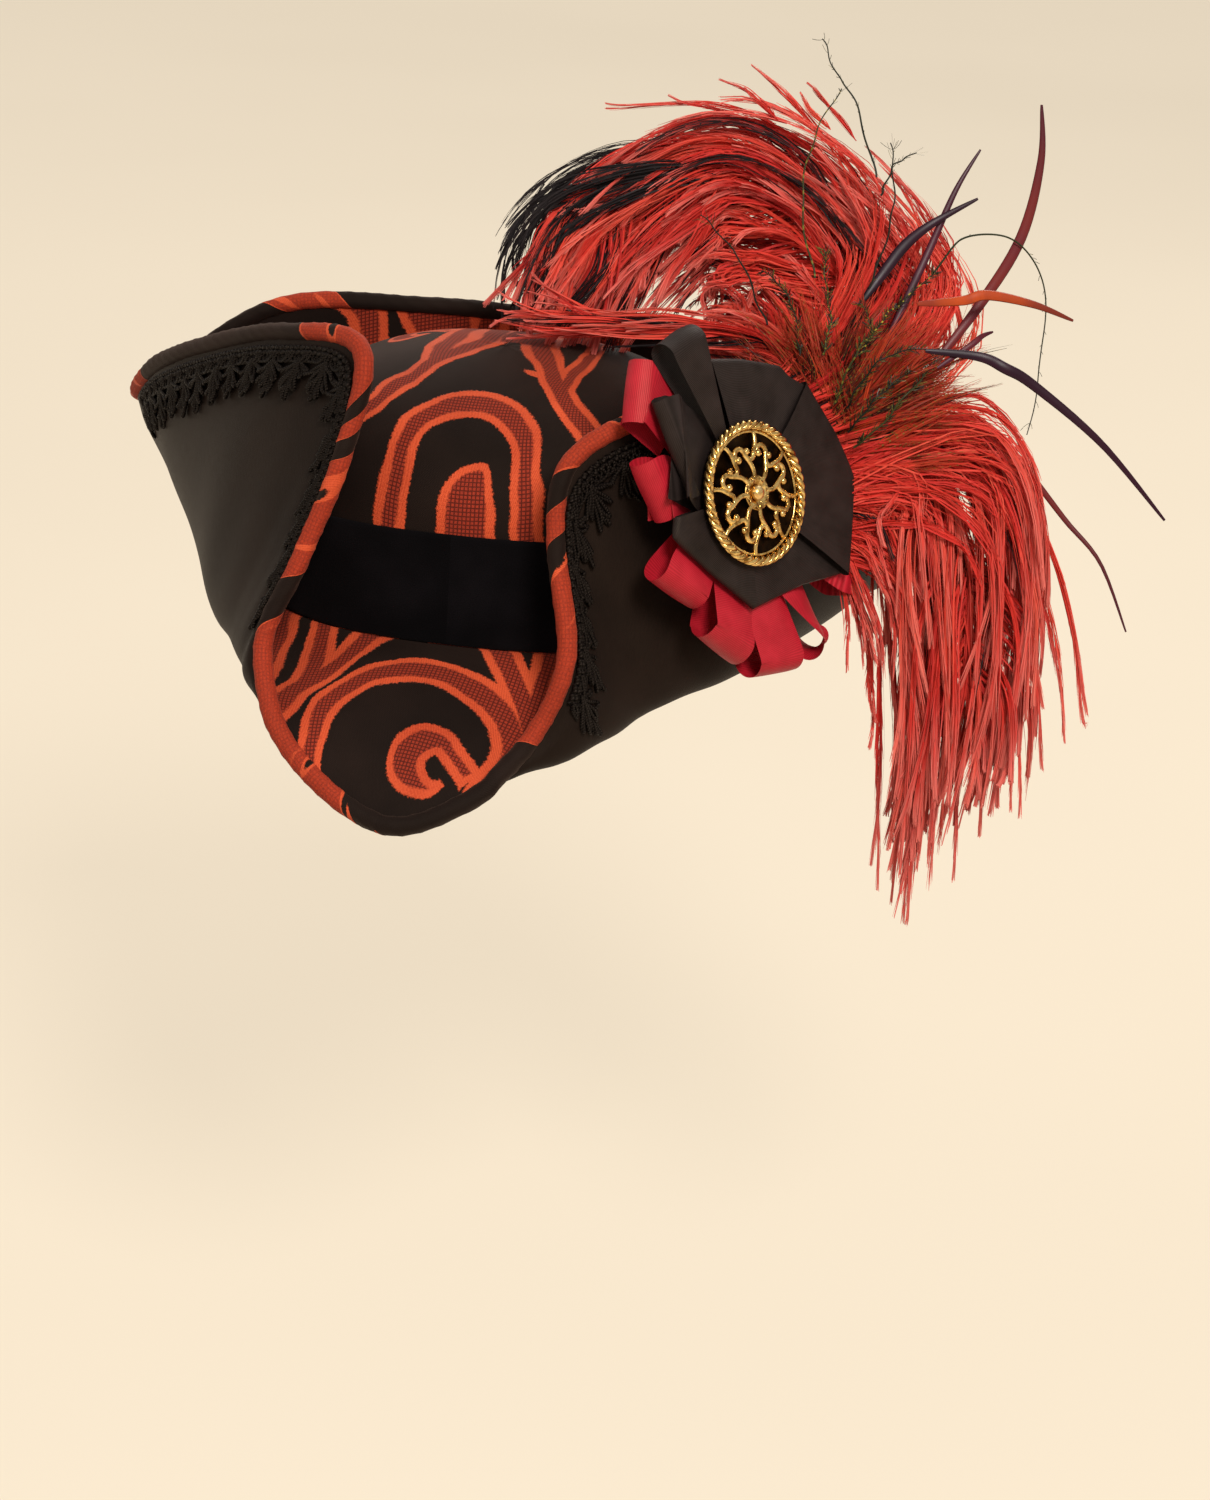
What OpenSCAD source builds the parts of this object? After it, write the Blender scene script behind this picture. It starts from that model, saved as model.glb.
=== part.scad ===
// Small three-cornered pirate hat that perches on the head: a brocade crown with a velvet band, a wired
// brim turned up in three flaps, and a ribbon cockade with a metal button and a spray of feathers.
// The origin is the centre of the head opening, +Z is the crown's axis, -Y is the front point of the
// brim and +X is the wearer's left, where the cockade sits.

/* [Crown] */
// Half width of the crown at its base, from ear to ear
crown_half_width = 71; // [66:0.5:76]
// Half depth of the crown at its base, front to back
crown_half_depth = 67; // [62:0.5:72]
// Squareness of the crown's plan, where 2 is an ellipse
crown_squareness = 2.56; // [2:0.02:3.2]
// Height of the crown above the brim
crown_height = 79; // [70:1:95]
// Squareness of the dome's profile, where 2 is an ellipse
dome_squareness = 2.45; // [2:0.05:3]
// Thickness of the blocked buckram crown
crown_buckram = 1.8; // [1:0.1:2.5]

/* [Fabrics] */
// Thickness of the brocade with its interfacing
brocade = 0.8; // [0.4:0.1:1.2]
// Thickness of the taffeta under the brim
taffeta = 0.7; // [0.4:0.1:1.2]
// Thickness of the crown's lining
lining = 0.5; // [0.3:0.1:0.8]
// Thickness of the grosgrain sweatband
sweatband_thickness = 0.6; // [0.4:0.1:1]
// Height of the sweatband inside the crown
sweatband_height = 24; // [15:1:30]
// Height of the velvet band's top edge above the brim
band_height = 36; // [28:1:42]
// Thickness of the velvet band
band_thickness = 1.2; // [0.8:0.1:2]

/* [Brim] */
// Thickness of the brim's buckram
brim_buckram = 1.6; // [1:0.1:2.2]
// Diameter of the wire along the brim's edge
wire_diameter = 1.6; // [1:0.1:1.8]
// Outer diameter of the rolled brocade binding
binding_diameter = 6.5; // [6:0.1:7.5]
// How far the flat ring of the brim reaches out past the crown
flat_ring = 2.2; // [1.6:0.1:3]
// Width of the gimp braid
gimp_width = 13; // [8:0.5:15]
// Thickness of the gimp braid
gimp_thickness = 1.8; // [1:0.1:2.5]

/* [Brim corners] */
// Tip of the front point
front_tip = [-4, -130, -33]; // [-150:1:150]
// Tip of the rear corner on the wearer's left
rear_left_tip = [134, 60, 10]; // [-150:1:150]
// Tip of the rear corner on the wearer's right
rear_right_tip = [-137, 62, 35]; // [-150:1:150]

/* [Cockade] */
// Where the cockade sits along the wearer's left flap, counted in steps from the front point
cockade_row = 18.3; // [17.5:0.1:19]
// Where the cockade sits up the flap, from the crown (0) to the flap's edge (1)
cockade_rise = 0.88; // [0.82:0.01:0.9]
// Turn of the cockade's face, from straight ahead towards the wearer's left
cockade_turn = 57.8; // [50:0.1:65]
// Upward lean of the cockade's face
cockade_lean = 17.5; // [12:0.1:22]
// Thickness of the ribbons
ribbon = 0.6; // [0.4:0.1:0.8]
// Width of the red ribbon
red_ribbon_width = 19; // [15:0.5:22]
// Outer diameter of a red ribbon loop
red_loop_diameter = 9.5; // [8:0.1:10]
// Width of the black ribbon in the folded panels
black_ribbon_width = 38; // [30:1:42]

/* [Button] */
// Outer diameter of the button
button_diameter = 44; // [38:0.5:48]
// Diameter of the rope border's round section
rope_diameter = 3.6; // [3:0.1:4]
// Thickness of the button's back plate
button_plate = 1; // [0.6:0.1:1.4]
// Diameter of the centre bead
bead_diameter = 6; // [5:0.1:7]
// Number of scrolls in the filigree
scroll_count = 12; // [8:1:14]

/* [Feathers] */
// Diameter of an ostrich plume's bare quill
quill_diameter = 2.4; // [1.6:0.1:2.6]
// Diameter of the thread wrap that gathers the quills
wrap_diameter = 5.6; // [5:0.1:6.4]
// Length of the thread wrap
wrap_length = 16; // [10:1:18]
// Turn of the spray's broad side, from straight ahead towards the wearer's left
spray_turn = 11.7; // [5:0.1:20]
// Upward lean of the spray's broad side
spray_lean = 18; // [10:1:25]

/* [Hidden] */

$fn = 48;

// ---- curves -------------------------------------------------------------------------------------

// One component-wise Catmull-Rom step between b and c
function blend(a, b, c, d, t) =
    0.5 * (2 * b + (c - a) * t + (2 * a - 5 * b + 4 * c - d) * t * t + (3 * b - a - 3 * c + d) * t * t * t);

// Smooth open curve through the given points
function spline(points, steps) =
    let (last = len(points) - 1)
    [
        for (i = [0 : last - 1], s = [0 : steps - 1])
            blend(
                points[max(i - 1, 0)], points[i], points[i + 1], points[min(i + 2, last)], s / steps
            ),
        points[last]
    ];

function unit(v) = v / norm(v);

function bezier(a, b, c, d, t) =
    pow(1 - t, 3) * a + 3 * pow(1 - t, 2) * t * b + 3 * (1 - t) * t * t * c + pow(t, 3) * d;

// ---- meshes -------------------------------------------------------------------------------------

// Skin over a row of rings that turn right-handed about the direction of travel. Without end points
// the row closes on itself, and with them each end ring is closed by a fan to its end point. From
// side number flip on, each four-sided patch is split the other way, so that the back of one layer of
// cloth lies exactly on the front of the next.
module sweep(rings, ends = undef, flip = 1000) {
    row_count = len(rings);
    side_count = len(rings[0]);
    closed = is_undef(ends);
    points = [for (ring = rings) each ring, if (!closed) each ends];
    function at(r, k) = (r % row_count) * side_count + k % side_count;
    sides = [
        for (r = [0 : row_count - (closed ? 1 : 2)], k = [0 : side_count - 1])
            each k < flip
                ? [
                    [at(r, k), at(r + 1, k + 1), at(r, k + 1)],
                    [at(r, k), at(r + 1, k), at(r + 1, k + 1)]
                ]
                : [
                    [at(r, k), at(r + 1, k), at(r, k + 1)],
                    [at(r + 1, k), at(r + 1, k + 1), at(r, k + 1)]
                ]
    ];
    first = row_count * side_count;
    caps = closed ? [] : [
        for (k = [0 : side_count - 1])
            each [
                [first, at(0, k), at(0, k + 1)],
                [first + 1, at(row_count - 1, k + 1), at(row_count - 1, k)]
            ]
    ];
    polyhedron(points = points, faces = concat(sides, caps), convexity = 10);
}

function middle(ring) =
    [for (k = [0 : 2]) let (sum = [for (p = ring) 1] * [for (p = ring) p[k]]) sum / len(ring)];

// Skin over an open row of rings, closed flat at both ends
module open_sweep(rings) {
    sweep(rings, [middle(rings[0]), middle(rings[len(rings) - 1])]);
}

// ---- crown --------------------------------------------------------------------------------------

// Point of the crown's plan at a bearing from straight ahead, moved in by inset
function plan_point(bearing, inset, scale = 1) =
    let (
        half_width = (crown_half_width - inset) * scale,
        half_depth = (crown_half_depth - inset) * scale,
        x = sin(bearing),
        y = -cos(bearing),
        reach = pow(
            pow(abs(x) / half_width, crown_squareness) + pow(abs(y) / half_depth, crown_squareness),
            -1 / crown_squareness
        )
    )
    [x * reach, y * reach];

crown_sides = 48;
crown_bearings = [for (i = [0 : crown_sides - 1]) i * 360 / crown_sides];
dome_angles = [0, 12, 26, 42, 58, 72, 83];

function crown_ring(inset, z, scale = 1) =
    [for (bearing = crown_bearings) let (p = plan_point(bearing, inset, scale)) [p.x, p.y, z]];

// Rings of the dome from the band's top edge up, and its highest point
function dome_rings(inset) =
    [
        for (angle = dome_angles)
            crown_ring(
                inset,
                band_height + (crown_height - inset - band_height) * pow(sin(angle), 2 / dome_squareness),
                pow(cos(angle), 2 / dome_squareness)
            )
    ];

function dome_top(inset) = [0, 0, crown_height - inset];

function reversed(list) = [for (i = [len(list) - 1 : -1 : 0]) list[i]];

// One layer of the crown between two insets, open below at z = floor
module crown_layer(outer, inner, floor) {
    sweep(
        concat(
            reversed(dome_rings(inner)), [crown_ring(inner, floor)],
            [crown_ring(outer, floor)], dome_rings(outer)
        ),
        [dome_top(inner), dome_top(outer)]
    );
}

// Upright band around the crown between two insets and two heights
module crown_hoop(outer, inner, bottom, top) {
    sweep(
        [
            for (bearing = crown_bearings)
                let (o = plan_point(bearing, outer), i = plan_point(bearing, inner))
                [[i.x, i.y, bottom], [i.x, i.y, top], [o.x, o.y, top], [o.x, o.y, bottom]]
        ]
    );
}

shell_inset = brocade;
lining_inset = shell_inset + crown_buckram;
sweatband_inset = lining_inset + lining;
inside_inset = sweatband_inset + sweatband_thickness;
brim_bottom = -brim_buckram - taffeta;
band_lift = brocade + 0.2;

module crown_shell() {
    color([0.78, 0.74, 0.66]) crown_layer(shell_inset, lining_inset, 0);
}

module crown_cover() {
    color([0.75, 0.3, 0.16]) crown_layer(0, shell_inset, 0);
}

module crown_lining() {
    color([0.08, 0.08, 0.09]) crown_layer(lining_inset, sweatband_inset, brim_bottom);
}

module sweatband() {
    color([0.1, 0.1, 0.1]) crown_hoop(sweatband_inset, inside_inset, brim_bottom, sweatband_height);
}

module hatband() {
    color([0.05, 0.04, 0.05]) crown_hoop(-band_thickness, 0, band_lift, band_height);
}

// ---- brim ---------------------------------------------------------------------------------------

// Lines across the brim, in order from the front point round by the wearer's left. Each has the
// bearing where it leaves the crown, the point where the brim folds up, and the point on its edge.
brim_lines = [
    [0, [0, -104, -6], front_tip],
    [14, [24, -104, -16], [18, -120, -28]],
    [24, [42, -100, -28], [34, -101, -14]],
    [34, [60, -90, -29], [42, -94, 10]],
    [43, [70, -80, -29], [35, -82, 42]],
    [51, [80, -68, -28], [38, -75, 66]],
    [64, [94, -46, -26], [64, -56, 78]],
    [86, [110, -14, -22], [96, -14, 68]],
    [108, [124, 24, -14], [118, 28, 44]],
    [122, [128, 56, -2], rear_left_tip],
    [138, [100, 78, -8], [104, 78, 40]],
    [158, [50, 90, -10], [46, 84, 64]],
    [180, [0, 92, -8], [0, 82, 68]],
    [200, [-50, 90, -8], [-48, 80, 69]],
    [220, [-96, 80, -4], [-98, 76, 64]],
    [237, [-124, 58, 10], rear_right_tip],
    [252, [-116, 28, -8], [-122, 24, 54]],
    [272, [-104, -10, -16], [-92, -14, 73]],
    [292, [-94, -44, -22], [-58, -48, 88]],
    [308, [-84, -66, -24], [-29, -70, 91]],
    [318, [-78, -78, -24], [-31, -79, 62]],
    [327, [-70, -88, -22], [-41, -86, 30]],
    [336, [-58, -96, -18], [-50, -94, 2]],
    [346, [-34, -104, -12], [-35, -114, -20]]
];
line_count = len(brim_lines);
line_steps = 3;
brim_rows = line_count * line_steps;

// Bearing of a brim line, counted on past a full turn
function line_bearing(i) = brim_lines[(i + line_count) % line_count][0] + 360 * floor(i / line_count);

// Bearing, fold and edge of the brim at row r, between its lines
function brim_row(r) =
    let (
        i = floor(r / line_steps),
        t = (r % line_steps) / line_steps,
        near = [for (k = [i - 1 : i + 2]) brim_lines[(k + line_count) % line_count]]
    )
    [
        blend(line_bearing(i - 1), line_bearing(i), line_bearing(i + 1), line_bearing(i + 2), t),
        blend(near[0][1], near[1][1], near[2][1], near[3][1], t),
        blend(near[0][2], near[1][2], near[2][2], near[3][2], t)
    ];

rows = [for (r = [0 : brim_rows - 1]) brim_row(r)];

// How far along the first and second handles of a brim line's curve lie
fold_pull = 0.75;
edge_pull = 0.2;

// Point on the brim's upper buckram face on a row, t from the flat ring (0) to the edge (1)
function row_point(row, t) =
    let (
        start = plan_point(row[0], -flat_ring),
        base = [start.x, start.y, 0],
        fold = row[1],
        edge = row[2]
    )
    bezier(base, base + (fold - base) * fold_pull, fold + (edge - fold) * edge_pull, edge, t);

function brim_point(r, t) = row_point(rows[(r + brim_rows) % brim_rows], t);

// Upward normal of the brim at row r and t
function brim_normal(r, t) =
    let (
        step = 0.02,
        low = min(t, 1 - step),
        along = brim_point(r + 1, t) - brim_point(r - 1, t),
        across = brim_point(r, low + step) - brim_point(r, low)
    )
    unit(cross(across, along));

brim_ts = [0, 0.2, 0.4, 0.6, 0.8, 1];

// Points and normals of one row, from the crown's inner side out to the edge
function flat_point(r, inset) = let (p = plan_point(rows[r][0], inset)) [p.x, p.y, 0];
brim_points = [
    for (r = [0 : brim_rows - 1])
        [flat_point(r, lining_inset), flat_point(r, 0), for (t = brim_ts) brim_point(r, t)]
];
brim_normals = [
    for (r = [0 : brim_rows - 1])
        [[0, 0, 1], [0, 0, 1], [0, 0, 1], for (k = [1 : len(brim_ts) - 1]) brim_normal(r, brim_ts[k])]
];
last_column = len(brim_ts) + 1;

// One layer of the brim from column first out, between two heights above the buckram's upper face
module brim_layer(first, low, high) {
    sweep(
        [
            for (r = [0 : brim_rows - 1])
                [
                    for (k = [first : last_column]) brim_points[r][k] + brim_normals[r][k] * high,
                    for (k = [last_column : -1 : first]) brim_points[r][k] + brim_normals[r][k] * low
                ]
        ],
        flip = last_column - first + 1
    );
}

module brim_base() {
    color([0.78, 0.74, 0.66]) brim_layer(0, -brim_buckram, 0);
}

module brim_top_cover() {
    color([0.7, 0.27, 0.15]) brim_layer(1, 0, brocade);
}

module brim_under_cover() {
    color([0.15, 0.13, 0.13]) brim_layer(0, brim_bottom, -brim_buckram);
}

// Frame at the brim's edge: the edge point, outward across the edge, and up from the brim
function edge_frame(r) =
    let (
        edge = brim_points[r][last_column],
        travel = unit(
            brim_points[(r + 1) % brim_rows][last_column]
            - brim_points[(r + brim_rows - 1) % brim_rows][last_column]
        ),
        normal = brim_normals[r][last_column],
        out = unit(cross(travel, normal))
    )
    [edge, out, unit(cross(out, travel))];

// Sweeps a section, given as [outward, up] points, around the brim's edge
module edge_sweep(section) {
    sweep(
        [
            for (r = [0 : brim_rows - 1])
                let (frame = edge_frame(r))
                [for (p = section) frame[0] + frame[1] * p.x + frame[2] * p.y]
        ]
    );
}

wire_radius = wire_diameter / 2;
wire_reach = wire_radius + 0.1;
wire_sides = 6;

// Wire sewn to the buckram's edge
module brim_wire() {
    color([0.6, 0.6, 0.62])
        edge_sweep(
            [
                for (k = [0 : wire_sides - 1])
                    let (angle = -k * 360 / wire_sides)
                    [wire_reach + wire_radius * cos(angle), -brim_buckram / 2 + wire_radius * sin(angle)]
            ]
        );
}

brim_thickness = brim_buckram + brocade + taffeta;
brim_middle = brocade - brim_thickness / 2;
binding_radius = binding_diameter / 2;
slot_gap = 0.85;
slot_radius = brim_thickness / 2 + slot_gap;
slot_reach = 0.6;
mouth_angle = 180 - asin(slot_radius / binding_radius);

// Rolled brocade binding: a tube with a slot that takes the layers of the brim
module brim_binding() {
    outer_steps = 9;
    inner_steps = 4;
    color([0.75, 0.32, 0.16])
        edge_sweep(
            [
                for (k = [0 : outer_steps])
                    let (angle = mouth_angle - k * 2 * mouth_angle / outer_steps)
                    [slot_reach + binding_radius * cos(angle), brim_middle + binding_radius * sin(angle)],
                for (k = [0 : inner_steps])
                    let (angle = -90 + k * 180 / inner_steps)
                    [slot_reach + slot_radius * cos(angle), brim_middle + slot_radius * sin(angle)]
            ]
        );
}

// How far in from the brim's edge the braid starts, and the gap between braid and cloth
gimp_inset = binding_radius + 2.7;
gimp_gap = 0.3;

// t on row r at a distance in from the edge
function t_from_edge(r, distance) =
    let (pull = 3 * (1 - edge_pull) * norm(rows[r % brim_rows][2] - rows[r % brim_rows][1]))
    max(0.2, 1 - distance / pull - 0.4 * pow(distance / pull, 2));

// Braid along the outside of one flap, between two rows of the brim
module gimp(from_row, to_row) {
    low = brim_bottom - gimp_gap - gimp_thickness;
    high = brim_bottom - gimp_gap;
    color([0.05, 0.05, 0.05])
        open_sweep(
            [
                for (r = [from_row : to_row])
                    let (ts = [for (d = [0, 0.5, 1]) t_from_edge(r, gimp_inset + gimp_width * d)])
                    [
                        for (k = [2, 1, 0]) brim_point(r, ts[k]) + brim_normal(r, ts[k]) * high,
                        for (k = [0, 1, 2]) brim_point(r, ts[k]) + brim_normal(r, ts[k]) * low
                    ]
            ]
        );
}

left_corner_row = 9 * line_steps;
right_corner_row = 15 * line_steps;
gimp_stop = 2;
front_stop = 8;

module gimp_left_flap() {
    gimp(front_stop, left_corner_row - gimp_stop);
}

module gimp_rear_flap() {
    gimp(left_corner_row + gimp_stop, right_corner_row - gimp_stop);
}

module gimp_right_flap() {
    gimp(right_corner_row + gimp_stop, brim_rows - front_stop);
}

// ---- cockade ------------------------------------------------------------------------------------

cockade_centre = row_point(brim_row(cockade_row), cockade_rise);

// Places children in the cockade's frame: x to the viewer's right, y up and z out of its face
module at_cockade() {
    translate(cockade_centre) rotate([90 - cockade_lean, 0, cockade_turn]) children();
}

// The same placing for a point
function cockade_point(p) =
    let (
        right = [cos(cockade_turn), sin(cockade_turn), 0],
        face = [
            sin(cockade_turn) * cos(cockade_lean), -cos(cockade_turn) * cos(cockade_lean), sin(cockade_lean)
        ]
    )
    cockade_centre + right * p.x + cross(face, right) * p.y + face * p.z;

pad_radius = 15;
pad_drop = 6;
pad_back = 3.3;
pad_front = 7.5;
pad_slope = 8.5;

// Stiff pad that carries the ribbons, thicker below to follow the flap's lean
module cockade_pad() {
    rim = 0.3;
    color([0.1, 0.1, 0.1])
        at_cockade()
            hull() {
                translate([0, -pad_drop, pad_front - rim])
                    cylinder(r = pad_radius, h = rim, $fn = 32);
                translate([0, -pad_drop, pad_back])
                    rotate([pad_slope, 0, 0]) cylinder(r = pad_radius, h = rim, $fn = 32);
            }
}

// Ribbon loop seen from its edge, closed by a pinched end at x = 0 and round at x = length
module loop_outline(length, diameter) {
    radius = diameter / 2;
    difference() {
        union() {
            translate([length - radius, 0]) circle(radius);
            translate([0, -radius]) square([length - radius, diameter]);
        }
        translate([length - radius, 0]) circle(radius - ribbon);
        translate([ribbon, ribbon - radius]) square([length - radius - ribbon, diameter - 2 * ribbon]);
    }
}

// Ribbon loop lying on its side along x
module lying_loop(length, diameter, width) {
    rotate([90, 0, 0]) linear_extrude(width, center = true) loop_outline(length, diameter);
}

// Gathered end of a ribbon, from near the centre out along x to where its loop starts
module ribbon_tail(from, to, from_width, to_width) {
    linear_extrude(ribbon)
        polygon([[from, -from_width / 2], [to, -to_width / 2], [to, to_width / 2], [from, from_width / 2]]);
}

tail_share = 0.5;
tail_pinch = 2;

// Red loops: bearing of the loop's middle, how far out it ends, and its share of the ribbon's width
red_loops = [
    [134, 50, 1], [166, 37, 1], [210, 41, 1], [242, 47, 0.95],
    [269, 55, 1], [295, 56, 0.9], [318, 57, 0.8], [339, 56, 0.8]
];
red_loop_length = 15;
red_loop_height = 8;
red_tail_start = 8;

module red_loop(index) {
    loop = red_loops[index];
    width = red_ribbon_width * loop[2];
    start = loop[1] - red_loop_length;
    color([0.8, 0.1, 0.18])
        at_cockade()
            rotate([0, 0, loop[0]]) {
                translate([start, 0, red_loop_height])
                    lying_loop(red_loop_length, red_loop_diameter, width);
                translate([0, 0, pad_front])
                    ribbon_tail(red_tail_start, start, tail_pinch, width * tail_share);
            }
}

shank_radius = 3;
layer_gap = 0.3;
black_height = red_loop_height + red_loop_diameter / 2 + layer_gap;
panel_diameter = 4.2;
plate_lift = black_height + panel_diameter + layer_gap;
panel_margin = 1.5;
panel_start = button_diameter / 2 + panel_margin;
standing_width = 10;

// Gathered end of a black ribbon, from the shank out along a bearing
module black_tail(bearing, to, width) {
    translate([0, 0, black_height])
        rotate([0, 0, bearing]) ribbon_tail(shank_radius, to, tail_pinch, width);
}

// Black panels: bearing of the fold, how far it stands out past the button, and how much narrower than
// the ribbon its gathers make it
black_panels = [[62, 17, 9], [-4, 30, 4], [-78, 14, 2], [-148, 12, 10]];

// Folded panel of black ribbon, from behind the button out along its bearing
module black_panel(index) {
    panel = black_panels[index];
    width = black_ribbon_width - panel[2];
    color([0.1, 0.1, 0.1])
        at_cockade() {
            rotate([0, 0, panel[0]])
                translate([panel_start, 0, black_height + panel_diameter / 2])
                    lying_loop(panel[1], panel_diameter, width);
            black_tail(panel[0], panel_start, width * tail_share);
        }
}

module black_panel_top() {
    black_panel(0);
}

module black_panel_right() {
    black_panel(1);
}

module black_panel_bottom() {
    black_panel(2);
}

module black_panel_left() {
    black_panel(3);
}

// Black loops that stand on their edge: bearing of the pinched end, its gap from the panels' start,
// the bearing that the loop runs along, its length and its outer diameter
standing_loops = [[122, 1.2, 97, 27, 9], [171, 1.3, 112, 28, 7]];

// Loop of black ribbon that stands on its edge
module standing_loop(index) {
    loop = standing_loops[index];
    distance = panel_start + loop[1];
    color([0.1, 0.1, 0.1])
        at_cockade() {
            rotate([0, 0, loop[0]])
                translate([distance, 0, black_height])
                    rotate([0, 0, loop[2] - loop[0]])
                        linear_extrude(standing_width) loop_outline(loop[3], loop[4]);
            black_tail(loop[0], distance, loop[4] * tail_share);
        }
}

module black_loop_top() {
    standing_loop(0);
}

module black_loop_side() {
    standing_loop(1);
}

// ---- button -------------------------------------------------------------------------------------

button_radius = button_diameter / 2;
rope_radius = rope_diameter / 2;
scroll_wire = 0.7;
scroll_gap = 0.1;

// Sewing shank behind the plate, through the ribbons to the pad
module button_shank() {
    color([0.72, 0.55, 0.2])
        at_cockade() translate([0, 0, pad_front]) cylinder(r = shank_radius, h = plate_lift - pad_front);
}

module button_plate() {
    color([0.35, 0.26, 0.1])
        at_cockade()
            translate([0, 0, plate_lift]) cylinder(r = button_radius - rope_diameter, h = button_plate);
}

module button_rope() {
    color([0.8, 0.6, 0.22])
        at_cockade()
            translate([0, 0, plate_lift + rope_radius])
                rotate_extrude() translate([button_radius - rope_radius, 0]) circle(rope_radius, $fn = 24);
}

// Open scrolls between the bead and the border: a ring and a spoke for each, joined by a hub
module button_filigree() {
    scroll_radius = 3;
    hub_radius = bead_diameter / 2 + 2 * scroll_wire;
    scroll_centre = button_radius - rope_diameter - scroll_radius - scroll_gap;
    spoke_end = scroll_centre - scroll_radius + scroll_wire;
    color([0.76, 0.57, 0.2])
        at_cockade()
            translate([0, 0, plate_lift + button_plate])
                linear_extrude(2 * scroll_wire) {
                    difference() {
                        circle(hub_radius);
                        circle(bead_diameter / 2);
                    }
                    for (i = [0 : scroll_count - 1])
                        rotate(i * 360 / scroll_count) {
                            translate([scroll_centre, 0])
                                difference() {
                                    circle(scroll_radius);
                                    circle(scroll_radius - 2 * scroll_wire);
                                }
                            translate([hub_radius - scroll_wire, -scroll_wire])
                                square([spoke_end - hub_radius + scroll_wire, 2 * scroll_wire]);
                        }
                }
}

module button_bead() {
    bead_radius = bead_diameter / 2;
    color([0.85, 0.66, 0.28])
        at_cockade()
            translate([0, 0, plate_lift + button_plate])
                intersection() {
                    sphere(bead_radius);
                    cylinder(r = bead_radius, h = bead_radius);
                }
}

// ---- feathers -----------------------------------------------------------------------------------

// Outward normal of the spray's broad side
spray_face = [
    sin(spray_turn) * cos(spray_lean), -cos(spray_turn) * cos(spray_lean), sin(spray_lean)
];

// Solid around a curve whose points are [x, y, z, half breadth, half depth]
module feather_solid(points, steps, sides) {
    curve = spline(points, steps);
    last = len(curve) - 1;
    open_sweep(
        [
            for (i = [0 : last])
                let (
                    here = curve[i],
                    ahead = curve[min(i + 1, last)],
                    behind = curve[max(i - 1, 0)],
                    travel = unit([for (k = [0 : 2]) ahead[k] - behind[k]]),
                    broad = unit(cross(travel, spray_face)),
                    deep = cross(broad, travel)
                )
                [
                    for (s = [0 : sides - 1])
                        let (angle = -s * 360 / sides)
                        [here.x, here.y, here.z] + broad * here[3] * cos(angle) + deep * here[4] * sin(angle)
                ]
        ]
    );
}

module thin_feather(points, steps, start_radius, end_radius, sides = 5) {
    last = len(points) - 1;
    feather_solid(
        [
            for (i = [0 : last])
                let (radius = start_radius + (end_radius - start_radius) * i / last)
                [points[i].x, points[i].y, points[i].z, radius, radius]
        ],
        steps, sides
    );
}

wrap_lift = black_height - wrap_diameter / 2 - layer_gap;
wrap_gap = 14.5;
wrap_start = panel_start + wrap_gap;
wrap_bearing = 8;
spray_root = cockade_point([
    wrap_start * cos(wrap_bearing) + wrap_length * cos(wrap_bearing),
    wrap_start * sin(wrap_bearing) + wrap_length * sin(wrap_bearing),
    wrap_lift
]);

// Thread wound round the ends of all the quills, behind the right-hand ribbon panel
module feather_wrap() {
    color([0.12, 0.1, 0.1])
        at_cockade()
            rotate([0, 0, wrap_bearing])
                translate([wrap_start, 0, wrap_lift])
                    rotate([0, 90, 0]) cylinder(d = wrap_diameter, h = wrap_length);
}

module plume_upper_quill() {
    color([0.55, 0.15, 0.1])
        translate(spray_root)
            thin_feather([[1.1, 2, 1.5], [5, 9, 7.4]], 1, quill_diameter / 2, quill_diameter / 2, 8);
}

module plume_upper() {
    color([0.78, 0.24, 0.17])
        translate(spray_root)
            feather_solid(
                [
                    [5, 9.6, 8, 3, 3], [9, 27.5, 25, 27, 9], [-8, 40, 43, 30, 11], [-25, 45.5, 62, 26, 11],
                    [-48, 44, 73, 21, 11], [-71, 37, 65, 18, 10], [-89, 29, 52, 15, 9],
                    [-98, 23.6, 36, 9, 6], [-102, 21, 27, 4, 4]
                ],
                2, 12
            );
}

module plume_black() {
    color([0.06, 0.05, 0.05])
        translate(spray_root)
            feather_solid(
                [
                    [-62, 61, 72, 3, 3], [-83, 57, 68, 8, 5], [-100, 49.5, 57.5, 9, 5],
                    [-109, 41.5, 40.5, 8, 5], [-111, 36.5, 26.5, 3, 3]
                ],
                2, 10
            );
}

module plume_crown() {
    color([0.75, 0.22, 0.16])
        translate(spray_root)
            feather_solid(
                [
                    [-14, -2, 21, 2, 2], [-28, 6, 28, 6, 4], [-50, 10, 29, 6, 5], [-74, 9, 28, 5, 5],
                    [-96, 8, 27, 4, 4], [-112, 7, 26, 2, 2]
                ],
                2, 10
            );
}

module plume_lower_quill() {
    color([0.55, 0.15, 0.1])
        translate(spray_root)
            thin_feather([[2, 0.6, -0.2], [8, -0.6, -0.4]], 1, quill_diameter / 2, quill_diameter / 2, 8);
}

module plume_lower() {
    color([0.78, 0.26, 0.2])
        translate(spray_root)
            feather_solid(
                [
                    [8.8, -0.8, -0.4, 3, 3], [22.5, 6, 1, 16, 9], [36, 8, -15.5, 26, 12], [43, 1, -43.5, 29, 13],
                    [48, -8.5, -79, 28, 13], [44.5, -18.5, -112, 24, 11], [39, -26.5, -139.5, 16, 8],
                    [38.5, -29, -147.5, 9, 5]
                ],
                2, 12
            );
}

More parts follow.
